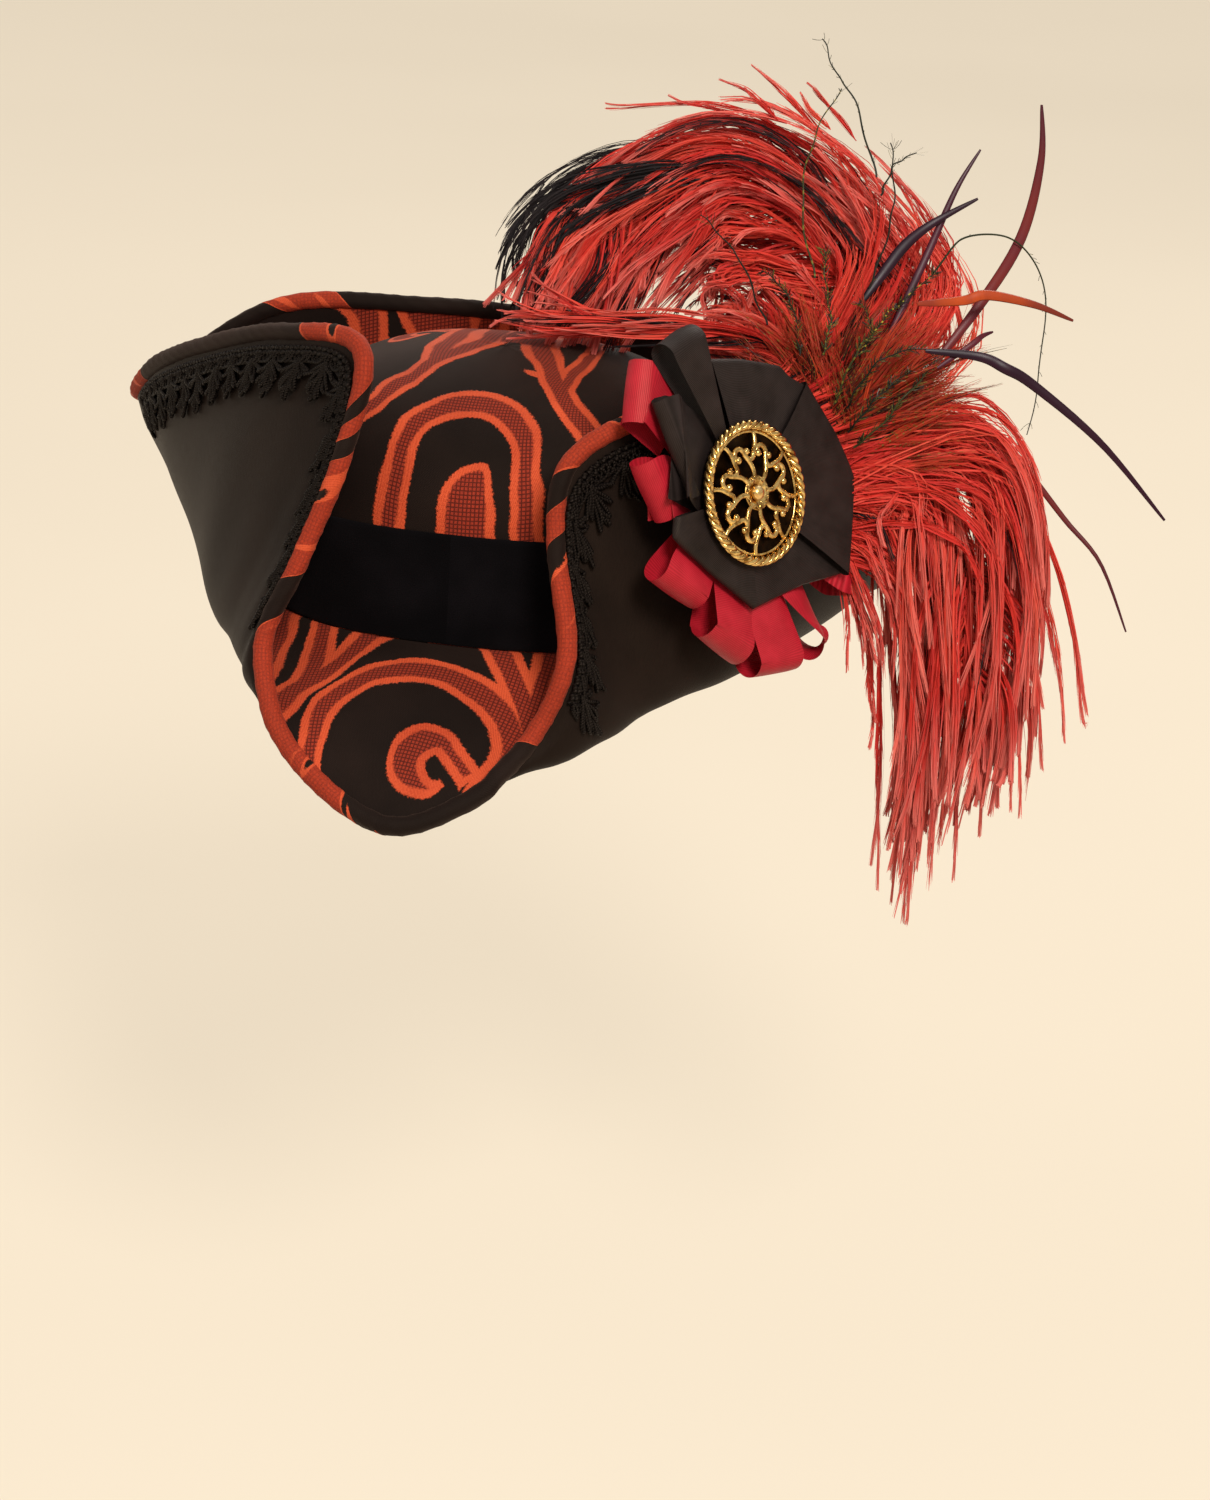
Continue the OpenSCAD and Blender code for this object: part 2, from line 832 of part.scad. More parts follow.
module hackle_pad() {
    color([0.6, 0.22, 0.1])
        translate(spray_root)
            feather_solid(
                [
                    [2, -16, 10, 4, 3], [11, -13, 24, 18, 7], [20, -6, 38, 20, 7], [26, 0, 50, 12, 5],
                    [30, 3, 57, 4, 2]
                ],
                2, 12
            );
}

biot_radius = 1.3;
biot_tip_radius = 0.3;

// Curled biots that spring out of the hackle pad and the lower plume
biot_curves = [
    [[37, 19, 42], [47, 36, 61], [50, 53, 82], [48, 64, 98]],
    [[20, 19, 56], [24, 36, 70], [30, 49, 84]],
    [[12, 26, 68], [20, 36, 71], [30, 44, 74]],
    [[33, 5, 46.5], [40, 9, 48], [54, 15, 45], [66, 20, 40]],
    [[37, -2, 34.5], [40, 1, 37], [43, 4, 38]],
    [[40, -4, 31.8], [48, -4, 29], [57, -2, 24], [79, 1, 7], [100, 5, -16]],
    [[76.5, 10, -30], [80, 8.5, -36], [84, 6, -42], [91, 3, -55]]
];

module curled_biots() {
    color([0.35, 0.1, 0.18])
        translate(spray_root)
            for (curve = biot_curves) thin_feather(curve, 2, biot_radius, biot_tip_radius);
}

herl_radius = 0.5;

// Thin peacock herls above the spray
herl_curves = [
    [[1, 34, 76], [-8, 45, 96], [-16, 49, 106], [-21, 53, 115]],
    [[-13, 9, 48], [-20, 21, 69], [-19, 34, 88], [-13, 46, 101]],
    [[3, 31, 71], [6, 38, 80], [12, 45, 83]],
    [[23, 9, 53], [30, 22, 62], [42, 31, 62], [53, 33, 53], [57, 29, 38], [57, 20, 19], [56, 11, 5]],
    [[-24, -12, 37], [-36, 2, 54], [-50, 13, 64]],
    [[5, -3, 49], [8, 22, 68], [4, 42, 86]]
];

module peacock_herls() {
    color([0.25, 0.25, 0.12])
        translate(spray_root)
            for (curve = herl_curves) thin_feather(curve, 2, herl_radius, herl_radius, 4);
}

// ---- hair comb ----------------------------------------------------------------------------------

comb_width = 26;
comb_bar = 4;
comb_thickness = 1.6;
comb_teeth = 8;
tooth_length = 22;
tooth_width = 1.6;
comb_gap = 0.7;

// Comb sewn to the sweatband at the front, with its teeth turned down and back
module hair_comb() {
    pitch = (comb_width - tooth_width) / (comb_teeth - 1);
    color([0.12, 0.09, 0.08])
        translate([0, -crown_half_depth + inside_inset + comb_gap + comb_thickness, 2]) {
            translate([-comb_width / 2, -comb_thickness, 0]) cube([comb_width, comb_thickness, comb_bar]);
            for (i = [0 : comb_teeth - 1])
                translate([-comb_width / 2 + i * pitch, -comb_thickness, -tooth_length + comb_bar])
                    cube([tooth_width, comb_thickness, tooth_length]);
        }
}

crown_shell();
crown_cover();
crown_lining();
sweatband();
hatband();
brim_base();
brim_top_cover();
brim_under_cover();
brim_wire();
brim_binding();
gimp_left_flap();
gimp_rear_flap();
gimp_right_flap();
cockade_pad();
for (i = [0 : len(red_loops) - 1]) {
    red_loop(i);
}
black_loop_top();
black_loop_side();
black_panel_top();
black_panel_right();
black_panel_bottom();
black_panel_left();
button_shank();
button_plate();
button_rope();
button_filigree();
button_bead();
feather_wrap();
plume_upper_quill();
plume_upper();
plume_black();
plume_crown();
plume_lower_quill();
plume_lower();
hackle_pad();
curled_biots();
peacock_herls();
hair_comb();
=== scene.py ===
import functools
import math

import bpy
import numpy as np
from mathutils import Matrix, Vector


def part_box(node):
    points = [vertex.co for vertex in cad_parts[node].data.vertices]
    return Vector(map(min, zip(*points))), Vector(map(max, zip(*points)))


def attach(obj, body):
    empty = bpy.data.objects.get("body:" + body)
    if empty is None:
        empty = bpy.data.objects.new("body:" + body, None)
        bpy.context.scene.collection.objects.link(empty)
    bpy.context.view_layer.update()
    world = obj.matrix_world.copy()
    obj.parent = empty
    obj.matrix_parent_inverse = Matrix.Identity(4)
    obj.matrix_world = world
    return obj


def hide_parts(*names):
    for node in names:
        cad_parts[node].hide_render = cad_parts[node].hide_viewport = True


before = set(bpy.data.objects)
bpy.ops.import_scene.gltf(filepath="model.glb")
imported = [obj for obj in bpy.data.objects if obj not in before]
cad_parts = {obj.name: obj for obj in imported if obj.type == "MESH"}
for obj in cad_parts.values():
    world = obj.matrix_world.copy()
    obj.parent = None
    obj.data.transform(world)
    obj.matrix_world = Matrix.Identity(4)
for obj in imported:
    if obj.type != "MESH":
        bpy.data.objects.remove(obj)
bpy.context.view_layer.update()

TURN = 2 * math.pi


def add_object(name, data):
    """An object in the scene that shows this mesh, lamp or camera."""
    made = bpy.data.objects.new(name, data)
    bpy.context.scene.collection.objects.link(made)
    return made


# ---- camera -------------------------------------------------------------------------------------

# Where the photo was taken from: degrees round from the front point, degrees up and over, metres away
CAMERA_TURN, CAMERA_RISE, CAMERA_ROLL, CAMERA_AWAY = 11.7, 18.0, 2.7, 1.1
SENSOR, LENS = 36, 81.84
SHIFT = (0.0737, -0.1113)


def make_camera():
    """A camera that looks at the head opening's middle, shifted to frame the hat as in the photo."""
    turn, rise, roll = (math.radians(a) for a in (CAMERA_TURN, CAMERA_RISE, CAMERA_ROLL))
    back = Vector((math.sin(turn) * math.cos(rise), -math.cos(turn) * math.cos(rise), math.sin(rise)))
    level = Vector((math.cos(turn), math.sin(turn), 0))
    upright = back.cross(level)
    right = math.cos(roll) * level + math.sin(roll) * upright
    up = math.cos(roll) * upright - math.sin(roll) * level
    data = bpy.data.cameras.new("camera")
    data.sensor_width, data.lens = SENSOR, LENS
    data.shift_x, data.shift_y = SHIFT
    data.clip_start, data.clip_end = 0.05, 50
    camera = add_object("camera", data)
    pose = Matrix((right, up, back)).transposed().to_4x4()
    pose.translation = back * CAMERA_AWAY
    camera.matrix_world = pose
    bpy.context.scene.camera = camera


make_camera()

# ---- sizes, in millimetres ----------------------------------------------------------------------


def box(node):
    """Low and high corner of a node's box."""
    low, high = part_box(node)
    return np.array(low) * 1000, np.array(high) * 1000


CROWN_W, CROWN_D, CROWN_H = box("crown_cover")[1]
BAND_FOOT, BAND_TOP = (corner[2] for corner in box("hatband"))
BRIM_UNDER, SWEAT_TOP = (corner[2] for corner in box("sweatband"))
# how square the crown's plan and its dome are
CROWN_N, DOME_N = 2.56, 2.45
# the brim's three layers, and the height of its lower face under the buckram's upper one
BROCADE, BUCKRAM, TAFFETA = 0.8, 1.6, 0.7
UNDER_FACE = -(BUCKRAM + TAFFETA)
LINING_INSET, SWEAT_INSET = 2.6, 3.1
FLAT_RING, BINDING_R = 2.2, 3.25
# how far the brim's curve is drawn towards its fold, from the ring and from the edge
FOLD_PULL, EDGE_PULL = 0.75, 0.2

# Lines across the brim: bearing, the point where it folds up, and the point on its edge
LINES = [
    (0, (0, -104, -6), (-4, -130, -33)), (14, (24, -104, -16), (18, -120, -28)),
    (24, (42, -100, -28), (34, -101, -14)), (34, (60, -90, -29), (42, -94, 10)),
    (43, (70, -80, -29), (35, -82, 42)), (51, (80, -68, -28), (38, -75, 66)),
    (64, (94, -46, -26), (64, -56, 78)), (86, (110, -14, -22), (96, -14, 68)),
    (108, (124, 24, -14), (118, 28, 44)), (122, (128, 56, -2), (134, 60, 10)),
    (138, (100, 78, -8), (104, 78, 40)), (158, (50, 90, -10), (46, 84, 64)),
    (180, (0, 92, -8), (0, 82, 68)), (200, (-50, 90, -8), (-48, 80, 69)),
    (220, (-96, 80, -4), (-98, 76, 64)), (237, (-124, 58, 10), (-137, 62, 35)),
    (252, (-116, 28, -8), (-122, 24, 54)), (272, (-104, -10, -16), (-92, -14, 73)),
    (292, (-94, -44, -22), (-58, -48, 88)), (308, (-84, -66, -24), (-29, -70, 91)),
    (318, (-78, -78, -24), (-31, -79, 62)), (327, (-70, -88, -22), (-41, -86, 30)),
    (336, (-58, -96, -18), (-50, -94, 2)), (346, (-34, -104, -12), (-35, -114, -20)),
]
LINE_TABLE = np.array([(b, *f, *e) for b, f, e in LINES], float)
ROWS_PER_LINE = 3
ROWS = ROWS_PER_LINE * len(LINES)

# ---- curves and surfaces ------------------------------------------------------------------------


def unit(v):
    """The same directions with a length of 1."""
    return v / np.maximum(np.linalg.norm(v, axis=-1, keepdims=True), 1e-12)


def ease(x, low, high):
    """Smooth step from 0 at low to 1 at high."""
    t = np.clip((np.asarray(x, float) - low) / (high - low), 0, 1)
    return t * t * (3 - 2 * t)


def lattice(a, b):
    """Two grids that hold every pair of a value from a and a value from b."""
    return np.meshgrid(a, b, indexing="ij")


def circle(angle):
    """Points (..., 2) on the unit circle."""
    return np.stack([np.cos(angle), np.sin(angle)], -1)


def lifted(xy, z):
    """Points (..., 3) from places in a plane and heights over it."""
    xy, z = np.asarray(xy, float), np.asarray(z, float)
    return np.concatenate([xy, np.broadcast_to(z[..., None], (*xy.shape[:-1], 1))], -1)


def catmull(a, b, c, d, t):
    """Place between b and c, on the smooth curve through all four."""
    bend = (2 * a - 5 * b + 4 * c - d) * t**2 + (3 * b - a - 3 * c + d) * t**3
    return 0.5 * (2 * b + (c - a) * t + bend)


def spline(points, t):
    """Catmull-Rom through the points, at t from 0 to one less than their count."""
    points = np.asarray(points, float)
    last = len(points) - 1
    t = np.clip(np.asarray(t, float), 0, last)
    i = np.minimum(t.astype(int), last - 1)
    ends = [points[np.maximum(i - 1, 0)], points[i], points[i + 1], points[np.minimum(i + 2, last)]]
    return catmull(*ends, (t - i)[..., None])


def smooth_path(points, count):
    """So many points along the spline through a few."""
    return spline(points, np.linspace(0, len(points) - 1, count))


def plan(bearing, inset=0.0):
    """Point of the crown's plan at a bearing in degrees."""
    x, y = np.sin(np.radians(bearing)), -np.cos(np.radians(bearing))
    w, d = CROWN_W - inset, CROWN_D - inset
    reach = ((np.abs(x) / w) ** CROWN_N + (np.abs(y) / d) ** CROWN_N) ** (-1 / CROWN_N)
    return np.stack([x * reach, y * reach], -1)


def crown_point(bearing, s, inset=0.0, foot=0.0):
    """Point on the crown, s from -1 (foot) by 0 (band's top) to 1 (the summit)."""
    bearing, s = np.broadcast_arrays(np.asarray(bearing, float), np.asarray(s, float))
    angle = np.clip(s, 0, 1) * math.pi / 2
    scale = np.clip(np.cos(angle), 0, 1) ** (2 / DOME_N)
    high = BAND_TOP + (CROWN_H - inset - BAND_TOP) * np.sin(angle) ** (2 / DOME_N)
    z = np.where(s < 0, foot + (BAND_TOP - foot) * (1 + s), high)
    return lifted(plan(bearing, inset) * scale[..., None], z)


def brim_line(row):
    """Bearing, fold and edge of the brim at a row, from 0 at the front point round to ROWS."""
    r = np.asarray(row, float) % ROWS / ROWS_PER_LINE
    i = np.floor(r).astype(int)
    near = []
    for k in (-1, 0, 1, 2):
        line = LINE_TABLE[(i + k) % len(LINES)].copy()
        line[..., 0] += 360 * np.floor((i + k) / len(LINES))
        near.append(line)
    p = catmull(*near, (r - i)[..., None])
    return p[..., 0], p[..., 1:4], p[..., 4:7]


def brim_point(row, t):
    """Point on the buckram's upper face, t from the flat ring (0) to the edge (1)."""
    row, t = np.broadcast_arrays(np.asarray(row, float), np.asarray(t, float))
    bearing, fold, edge = brim_line(row)
    base = lifted(plan(bearing, -FLAT_RING), 0)
    b, c = base + (fold - base) * FOLD_PULL, fold + (edge - fold) * EDGE_PULL
    t = t[..., None]
    return (1 - t) ** 3 * base + 3 * (1 - t) ** 2 * t * b + 3 * (1 - t) * t**2 * c + t**3 * edge


def brim_normal(row, t):
    """Direction out of the brim's upper face, straight up on the flat ring."""
    row, t = np.broadcast_arrays(np.asarray(row, float), np.asarray(t, float))
    low = np.minimum(t, 0.98)
    along = brim_point(row + 1, t) - brim_point(row - 1, t)
    across = brim_point(row, low + 0.02) - brim_point(row, low)
    normal = unit(np.cross(across, along))
    flat = ease(t, 0.0, 0.12)[..., None]
    return unit(normal * flat + np.array([0, 0, 1.0]) * (1 - flat))


def brim_at(row, t, lift):
    """Point so far off the buckram's upper face."""
    return brim_point(row, t) + brim_normal(row, t) * np.asarray(lift)[..., None]


def run_length(points, axis=0):
    """Length along a grid of points from its start, on one axis."""
    step = np.linalg.norm(np.diff(points, axis=axis), axis=-1)
    start = np.zeros_like(np.take(step, [0], axis=axis))
    return np.concatenate([start, np.cumsum(step, axis=axis)], axis=axis)


def wobble(a, b, seed, scale):
    """Smooth noise from about -1 to 1 over two coordinates, from seven seeded waves."""
    r = np.random.default_rng(seed)
    total = 0
    for _ in range(7):
        angle, phase, size = r.uniform(0, TURN), r.uniform(0, TURN), r.uniform(0.6, 1.7)
        place = (a * math.cos(angle) + b * math.sin(angle)) * size
        total = total + np.sin(place * TURN / scale + phase)
    return total / 3.4


# ---- meshes -------------------------------------------------------------------------------------

SHADES = 64  # tones that the strands of one pile can have
ANY_WAY = unit(np.random.default_rng(1).normal(size=3))  # a slant that no cord runs along


def link_mesh(name, points, faces, uv, material):
    """An object from points in millimetres, four-sided faces and the cloth place of each corner."""
    mesh = bpy.data.meshes.new(name)
    points = np.asarray(points, np.float32).reshape(-1, 3) * 0.001
    mesh.vertices.add(len(points))
    mesh.vertices.foreach_set("co", points.ravel())
    mesh.loops.add(faces.size)
    mesh.loops.foreach_set("vertex_index", faces.ravel().astype(np.int32))
    mesh.polygons.add(len(faces))
    mesh.polygons.foreach_set("loop_start", np.arange(0, faces.size, 4, dtype=np.int32))
    layer = mesh.uv_layers.new(name="cloth")
    layer.data.foreach_set("uv", np.asarray(uv, np.float32).ravel())
    mesh.polygons.foreach_set("use_smooth", np.full(len(faces), True))
    mesh.update(calc_edges=True)
    mesh.validate()
    mesh.materials.append(material)
    return add_object(name, mesh)


def grid_quads(n, m, wrap_n=False, wrap_m=False):
    """Faces of a grid of n by m points, and each corner's place on the grid without wrapping."""
    i, j = lattice(np.arange(n if wrap_n else n - 1), np.arange(m if wrap_m else m - 1))
    ci = np.stack([i, i + 1, i + 1, i], -1).reshape(-1, 4)
    cj = np.stack([j, j, j + 1, j + 1], -1).reshape(-1, 4)
    return (ci % n) * m + cj % m, ci, cj


def grid_mesh(name, points, uv, material, wrap_n=False, wrap_m=False, flip=False):
    """An object from a grid of points (n, m, 3) and uv (n, m, 2), one longer where the grid wraps."""
    faces, ci, cj = grid_quads(*points.shape[:2], wrap_n, wrap_m)
    corner_uv = uv[ci, cj]
    if flip:
        faces, corner_uv = faces[:, ::-1], corner_uv[:, ::-1]
    return link_mesh(name, points, faces, corner_uv, material)


def strand_uv(reach, across, tones):
    """Cloth place on a strand: x from root to tip, and y in a row of its own for each shade."""
    return reach * 0.98 + 0.01, (np.floor(tones * SHADES) + 0.1 + 0.8 * across) / SHADES


class Pile:
    """Many strands gathered into one mesh."""

    def __init__(self):
        self.points, self.faces, self.uv, self.count = [], [], [], 0

    def add(self, grids, faces, u, v):
        """Adds grids of points (k, n, m, 3) with the faces of one grid and their corners' cloth places."""
        k, size = len(grids), grids[0].size // 3
        first = self.count + np.arange(k)[:, None, None] * size
        self.points.append(grids.reshape(-1, 3))
        self.faces.append((faces + first).reshape(-1, 4))
        self.uv.append(np.stack(np.broadcast_arrays(u, v), -1).reshape(-1, 4, 2))
        self.count += k * size

    def tube(self, path, radius, sides, guide=None, flat=1.0, closed=False, tone=None):
        """A tube along a path (n, 3), with one radius or n. flat below 1 makes it a blade."""
        n = len(path)
        radius = np.broadcast_to(radius, n)[:, None, None]
        if closed:
            ahead = unit(np.roll(path, -1, 0) - np.roll(path, 1, 0))
        else:
            ahead = unit(np.gradient(path, axis=0))
        if guide is None:
            guide = ANY_WAY
        side = unit(np.cross(ahead, guide))
        deep = np.cross(side, ahead)
        out, up = (circle(np.arange(sides) * TURN / sides)[..., k, None] * radius for k in (0, 1))
        ring = path[:, None] + side[:, None] * out + deep[:, None] * (up * flat)
        faces, ci, cj = grid_quads(n, sides, closed, True)
        if tone is None:
            length = run_length(path)
            u, v = np.append(length, length[-1] * (n + 1) / n)[ci], cj / sides
        else:
            u, v = strand_uv(ci / (n - 1), cj / sides, tone)
        self.add(ring[None], faces, u, v)

    def strips(self, paths, radii, tones, guide, reach=None):
        """Flat strips along paths (k, n, 3), each with a tone. reach (k, n) is how far out each is."""
        k, n = paths.shape[:2]
        side = unit(np.cross(unit(np.gradient(paths, axis=1)), guide[:, None])) * radii[..., None]
        faces, ci, cj = grid_quads(n, 2)
        reach = np.broadcast_to(np.linspace(0, 1, n), (k, n)) if reach is None else np.clip(reach, 0, 1)
        u, v = strand_uv(reach[:, ci], cj, tones[:, None, None])
        self.add(np.stack([paths - side, paths + side], 2), faces, u, v)

    def object(self, name, material):
        faces, uv = np.concatenate(self.faces), np.concatenate(self.uv)
        return link_mesh(name, np.concatenate(self.points), faces, uv, material)

    def feathers(self, name, material):
        """As object, where every strand of one shade may share the same place in a bake."""
        made = self.object(name, material)
        layer = made.data.uv_layers.new(name="OFBake")
        layer.data.foreach_set("uv", np.concatenate(self.uv).astype(np.float32).ravel())
        return made


def dress(piece, slot, *nodes):
    """The piece rides on the hat and stands for these CAD nodes, which it hides. The slot is not used."""
    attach(piece, "root")
    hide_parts(*nodes)


# ---- materials ----------------------------------------------------------------------------------


def linear(colour):
    """A colour as it is seen, 0 to 255, as the renderer wants it."""
    shares = [c / 255 for c in colour]
    return (*(c / 12.92 if c <= 0.04045 else ((c + 0.055) / 1.055) ** 2.4 for c in shares), 1.0)


def feed(tree, node, values):
    """Sets inputs of a node to numbers, seen colours, values or sockets."""
    for key, value in values.items():
        if isinstance(value, Value):
            value = value.socket
        if isinstance(value, bpy.types.NodeSocket):
            tree.links.new(value, node.inputs[key])
        else:
            node.inputs[key].default_value = linear(value) if isinstance(value, tuple) else value


class Value:
    """A number in a node tree that Python's own signs can work on."""

    def __init__(self, tree, socket):
        self.tree, self.socket = tree, socket

    def math(self, operation, *others):
        """The result of Blender's own operation on this number and others."""
        node = self.tree.nodes.new("ShaderNodeMath")
        node.operation = operation
        feed(self.tree, node, dict(enumerate((self, *others))))
        return Value(self.tree, node.outputs[0])

    def __neg__(self):
        return self * -1.0

    def step(self, low, high):
        """Smooth step from 0 at low to 1 at high."""
        node = self.tree.nodes.new("ShaderNodeMapRange")
        node.interpolation_type = "SMOOTHSTEP"
        feed(self.tree, node, {"Value": self, "From Min": low, "From Max": high})
        return Value(self.tree, node.outputs["Result"])

    def ramp(self, stops):
        """Colour from a table of places and colours."""
        node = self.tree.nodes.new("ShaderNodeValToRGB")
        band = node.color_ramp
        while len(band.elements) < len(stops):
            band.elements.new(0.5)
        for element, (place, colour) in zip(band.elements, stops.items()):
            element.position, element.color = place, linear(colour)
        feed(self.tree, node, {"Fac": self})
        return node.outputs["Color"]


SIGNS = {
    "__add__": "ADD", "__sub__": "SUBTRACT", "__mul__": "MULTIPLY", "__truediv__": "DIVIDE",
    "__abs__": "ABSOLUTE", "least": "MINIMUM", "most": "MAXIMUM", "over": "GREATER_THAN", "root": "SQRT",
    "sine": "SINE", "cosine": "COSINE", "floor": "FLOOR", "wrap": "WRAP",
}
for sign, operation in SIGNS.items():
    setattr(Value, sign, functools.partialmethod(Value.math, operation))

# Places of the colour inputs and the colour result on Blender's mix node
MIX_FACTOR, MIX_A, MIX_B, MIX_RESULT = 0, 6, 7, 2
SHEEN_ROUGHNESS = 0.45
WARM_WHITE = (255, 226, 200)


class Finish:
    """A Principled material with short ways to build its nodes."""

    def __init__(self, name, roughness, specular, sheen=0.0, sheen_tint=None, metallic=0.0, warm=False):
        self.material = bpy.data.materials.new(name)
        self.material.use_nodes = True
        self.tree = self.material.node_tree
        self.shader = self.tree.nodes["Principled BSDF"]
        inputs = {"Roughness": roughness, "Specular IOR Level": specular, "Metallic": metallic}
        if warm:
            inputs["Specular Tint"] = WARM_WHITE
        if sheen:
            inputs |= {"Sheen Weight": sheen, "Sheen Roughness": SHEEN_ROUGHNESS, "Sheen Tint": sheen_tint}
        feed(self.tree, self.shader, inputs)

    def node(self, kind, values):
        """A new node of this kind, with these inputs."""
        node = self.tree.nodes.new("ShaderNode" + kind)
        feed(self.tree, node, values)
        return node

    def parts(self, socket):
        """The three numbers of a vector."""
        return [Value(self.tree, part) for part in self.node("SeparateXYZ", {0: socket}).outputs]

    def cloth_xy(self):
        """The cloth's own two coordinates, in millimetres."""
        uv = self.node("UVMap", {})
        uv.uv_map = "cloth"
        return self.parts(uv.outputs[0])[:2]

    def object_xyz(self):
        """The place in the hat's frame, in metres."""
        return self.parts(self.node("TexCoord", {}).outputs["Object"])

    def join(self, *values):
        """A vector of three numbers."""
        return self.node("CombineXYZ", dict(enumerate(values))).outputs[0]

    def noise(self, vector, scale=1.0, detail=2.0, rough=0.5):
        """Soft noise about 0.5 at a place."""
        inputs = {"Vector": vector, "Scale": scale, "Detail": detail, "Roughness": rough}
        return Value(self.tree, self.node("TexNoise", inputs).outputs["Fac"])

    def mix(self, share, a, b):
        """Colour a where the share is 0 and colour b where it is 1."""
        node = self.tree.nodes.new("ShaderNodeMix")
        node.data_type = "RGBA"
        feed(self.tree, node, {MIX_FACTOR: share, MIX_A: a, MIX_B: b})
        return node.outputs[MIX_RESULT]

    def wear(self, colour, height=None, depth=0.0, rough=None):
        """Gives the shader its colour, relief of a depth in millimetres, and roughness."""
        inputs = {"Base Color": colour}
        if height is not None:
            relief = self.node("Bump", {"Distance": depth / 1000, "Height": height})
            inputs["Normal"] = relief.outputs["Normal"]
        if rough is not None:
            inputs["Roughness"] = rough
        feed(self.tree, self.shader, inputs)
        return self.material


def wave(x, pitch):
    """Swings between -1 and 1 once in each pitch."""
    return (x * (TURN / pitch)).sine()


def ribs(x, pitch):
    """Swings between 0 and 1 once in each pitch."""
    return wave(x, pitch) * 0.5 + 0.5


def weave(x, y, pitch):
    """Height of a plain weave with this thread pitch."""
    return wave(x, pitch) * wave(y, pitch) * 0.5 + 0.5


BLACK, BLACK_LOW = (32, 22, 19), (19, 13, 12)
ORANGE, ORANGE_LOW = (224, 92, 54), (186, 62, 36)
RUST, RUST_LOW = (142, 50, 36), (58, 20, 17)
SILK_SHEEN = (255, 205, 180)
# half the breadth of a brocade band, its bright outline, and the pitches of its three weaves
BAND_HALF, OUTLINE = 5.2, 2.9
OPEN_MESH, THREAD, GROUND_WEAVE = 1.3, 0.55, 0.62


def brocade_colours(f, d, x, y, open_work=0.8, bright=0.0):
    """Finish of the jacquard, where d is the distance from a band's middle line."""
    cell = f.join(x, y, 0.0)
    d = d + (f.noise(cell, 1.1, rough=0.6) - 0.5) * 1.9
    inside = -((d - BAND_HALF) / 0.35).step(-1.0, 1.0) + 1.0
    line = (d - (BAND_HALF - OUTLINE)).step(-0.5, 0.5)
    broad = f.noise(cell, 0.035)
    grain = f.noise(cell, 1.4)
    grid = wave(x, OPEN_MESH).most(wave(y, OPEN_MESH)).step(0.1, 1.0) * open_work
    thread = ribs(x + y * 0.35, THREAD)
    fill = f.mix(grid, f.mix((grain + bright).step(0.3, 0.9), RUST, ORANGE_LOW), RUST_LOW)
    edge = f.mix((thread * 0.3 + grain * 0.45 + broad * 0.4).step(0.32, 0.74), ORANGE_LOW, ORANGE)
    ground = f.mix((thread * 0.3 + broad * 0.9).step(0.3, 1.0), BLACK_LOW, BLACK)
    colour = f.mix(inside, ground, f.mix(line, fill, edge))
    shade = f.node("HueSaturation", {"Value": broad * 0.5 + 0.78, "Color": colour})
    height = inside * 0.6 + line * inside * 0.25 + weave(x, y, GROUND_WEAVE) * 0.22 - grid * inside * 0.2
    return f.wear(shade.outputs["Color"], height, 0.35, -(inside * line) * 0.14 + 0.66)


# The ogee's half width and half height, the line its bands swing about, their swing, and its widest place
OGEE_STEP, OGEE_RISE, OGEE_MID, OGEE_SWING, OGEE_WIDEST = 58.0, 98.0, 29.0, 21.0, -16.4
MOTIF_TOP = 73.0
PLAIN_ARCH, CURL_ARCH = 21.95, 29.0


def hypot(x, y):
    """How far a place is from the middle."""
    return (x * x + y * y).root()


def curl_shape(px, py):
    """Distance from a round curl with a hole, a slit that leads to it and a tail at its upper end."""
    qx, qy = px - 12.0, py + 5.5
    hx, hy = qx - 6.0, qy + 1.5
    slit = (-hx).most(abs(hy + hx * 0.5) - 2.2)
    tx, ty = qx - 3.0, qy - 7.6
    far = tx * 0.85 - ty * 0.53
    tail = (abs(tx * 0.53 + ty * 0.85) - 4.3).most(-far).most(far - 20.0)
    return (hypot(qx, qy) - 13.0).most(-hypot(hx, hy) + 3.8).most(-slit).least(tail)


def leaf_shape(px, py):
    """Distance from a leaning leaf, steeper on its right."""
    left, right, high = 13.9, 5.6, 19.0
    dx = px - 6.6
    kx = dx.over(0.0) * (1 / right - 1 / left) + 1 / left
    sx, sy = dx * kx, (py + 18.5).most(0.0) * (1 / high)
    reach = hypot(sx, sy)
    slope = hypot(sx * kx, sy * (1 / high)) / reach.most(0.05)
    return (reach - 1.0) / slope.most(0.05)


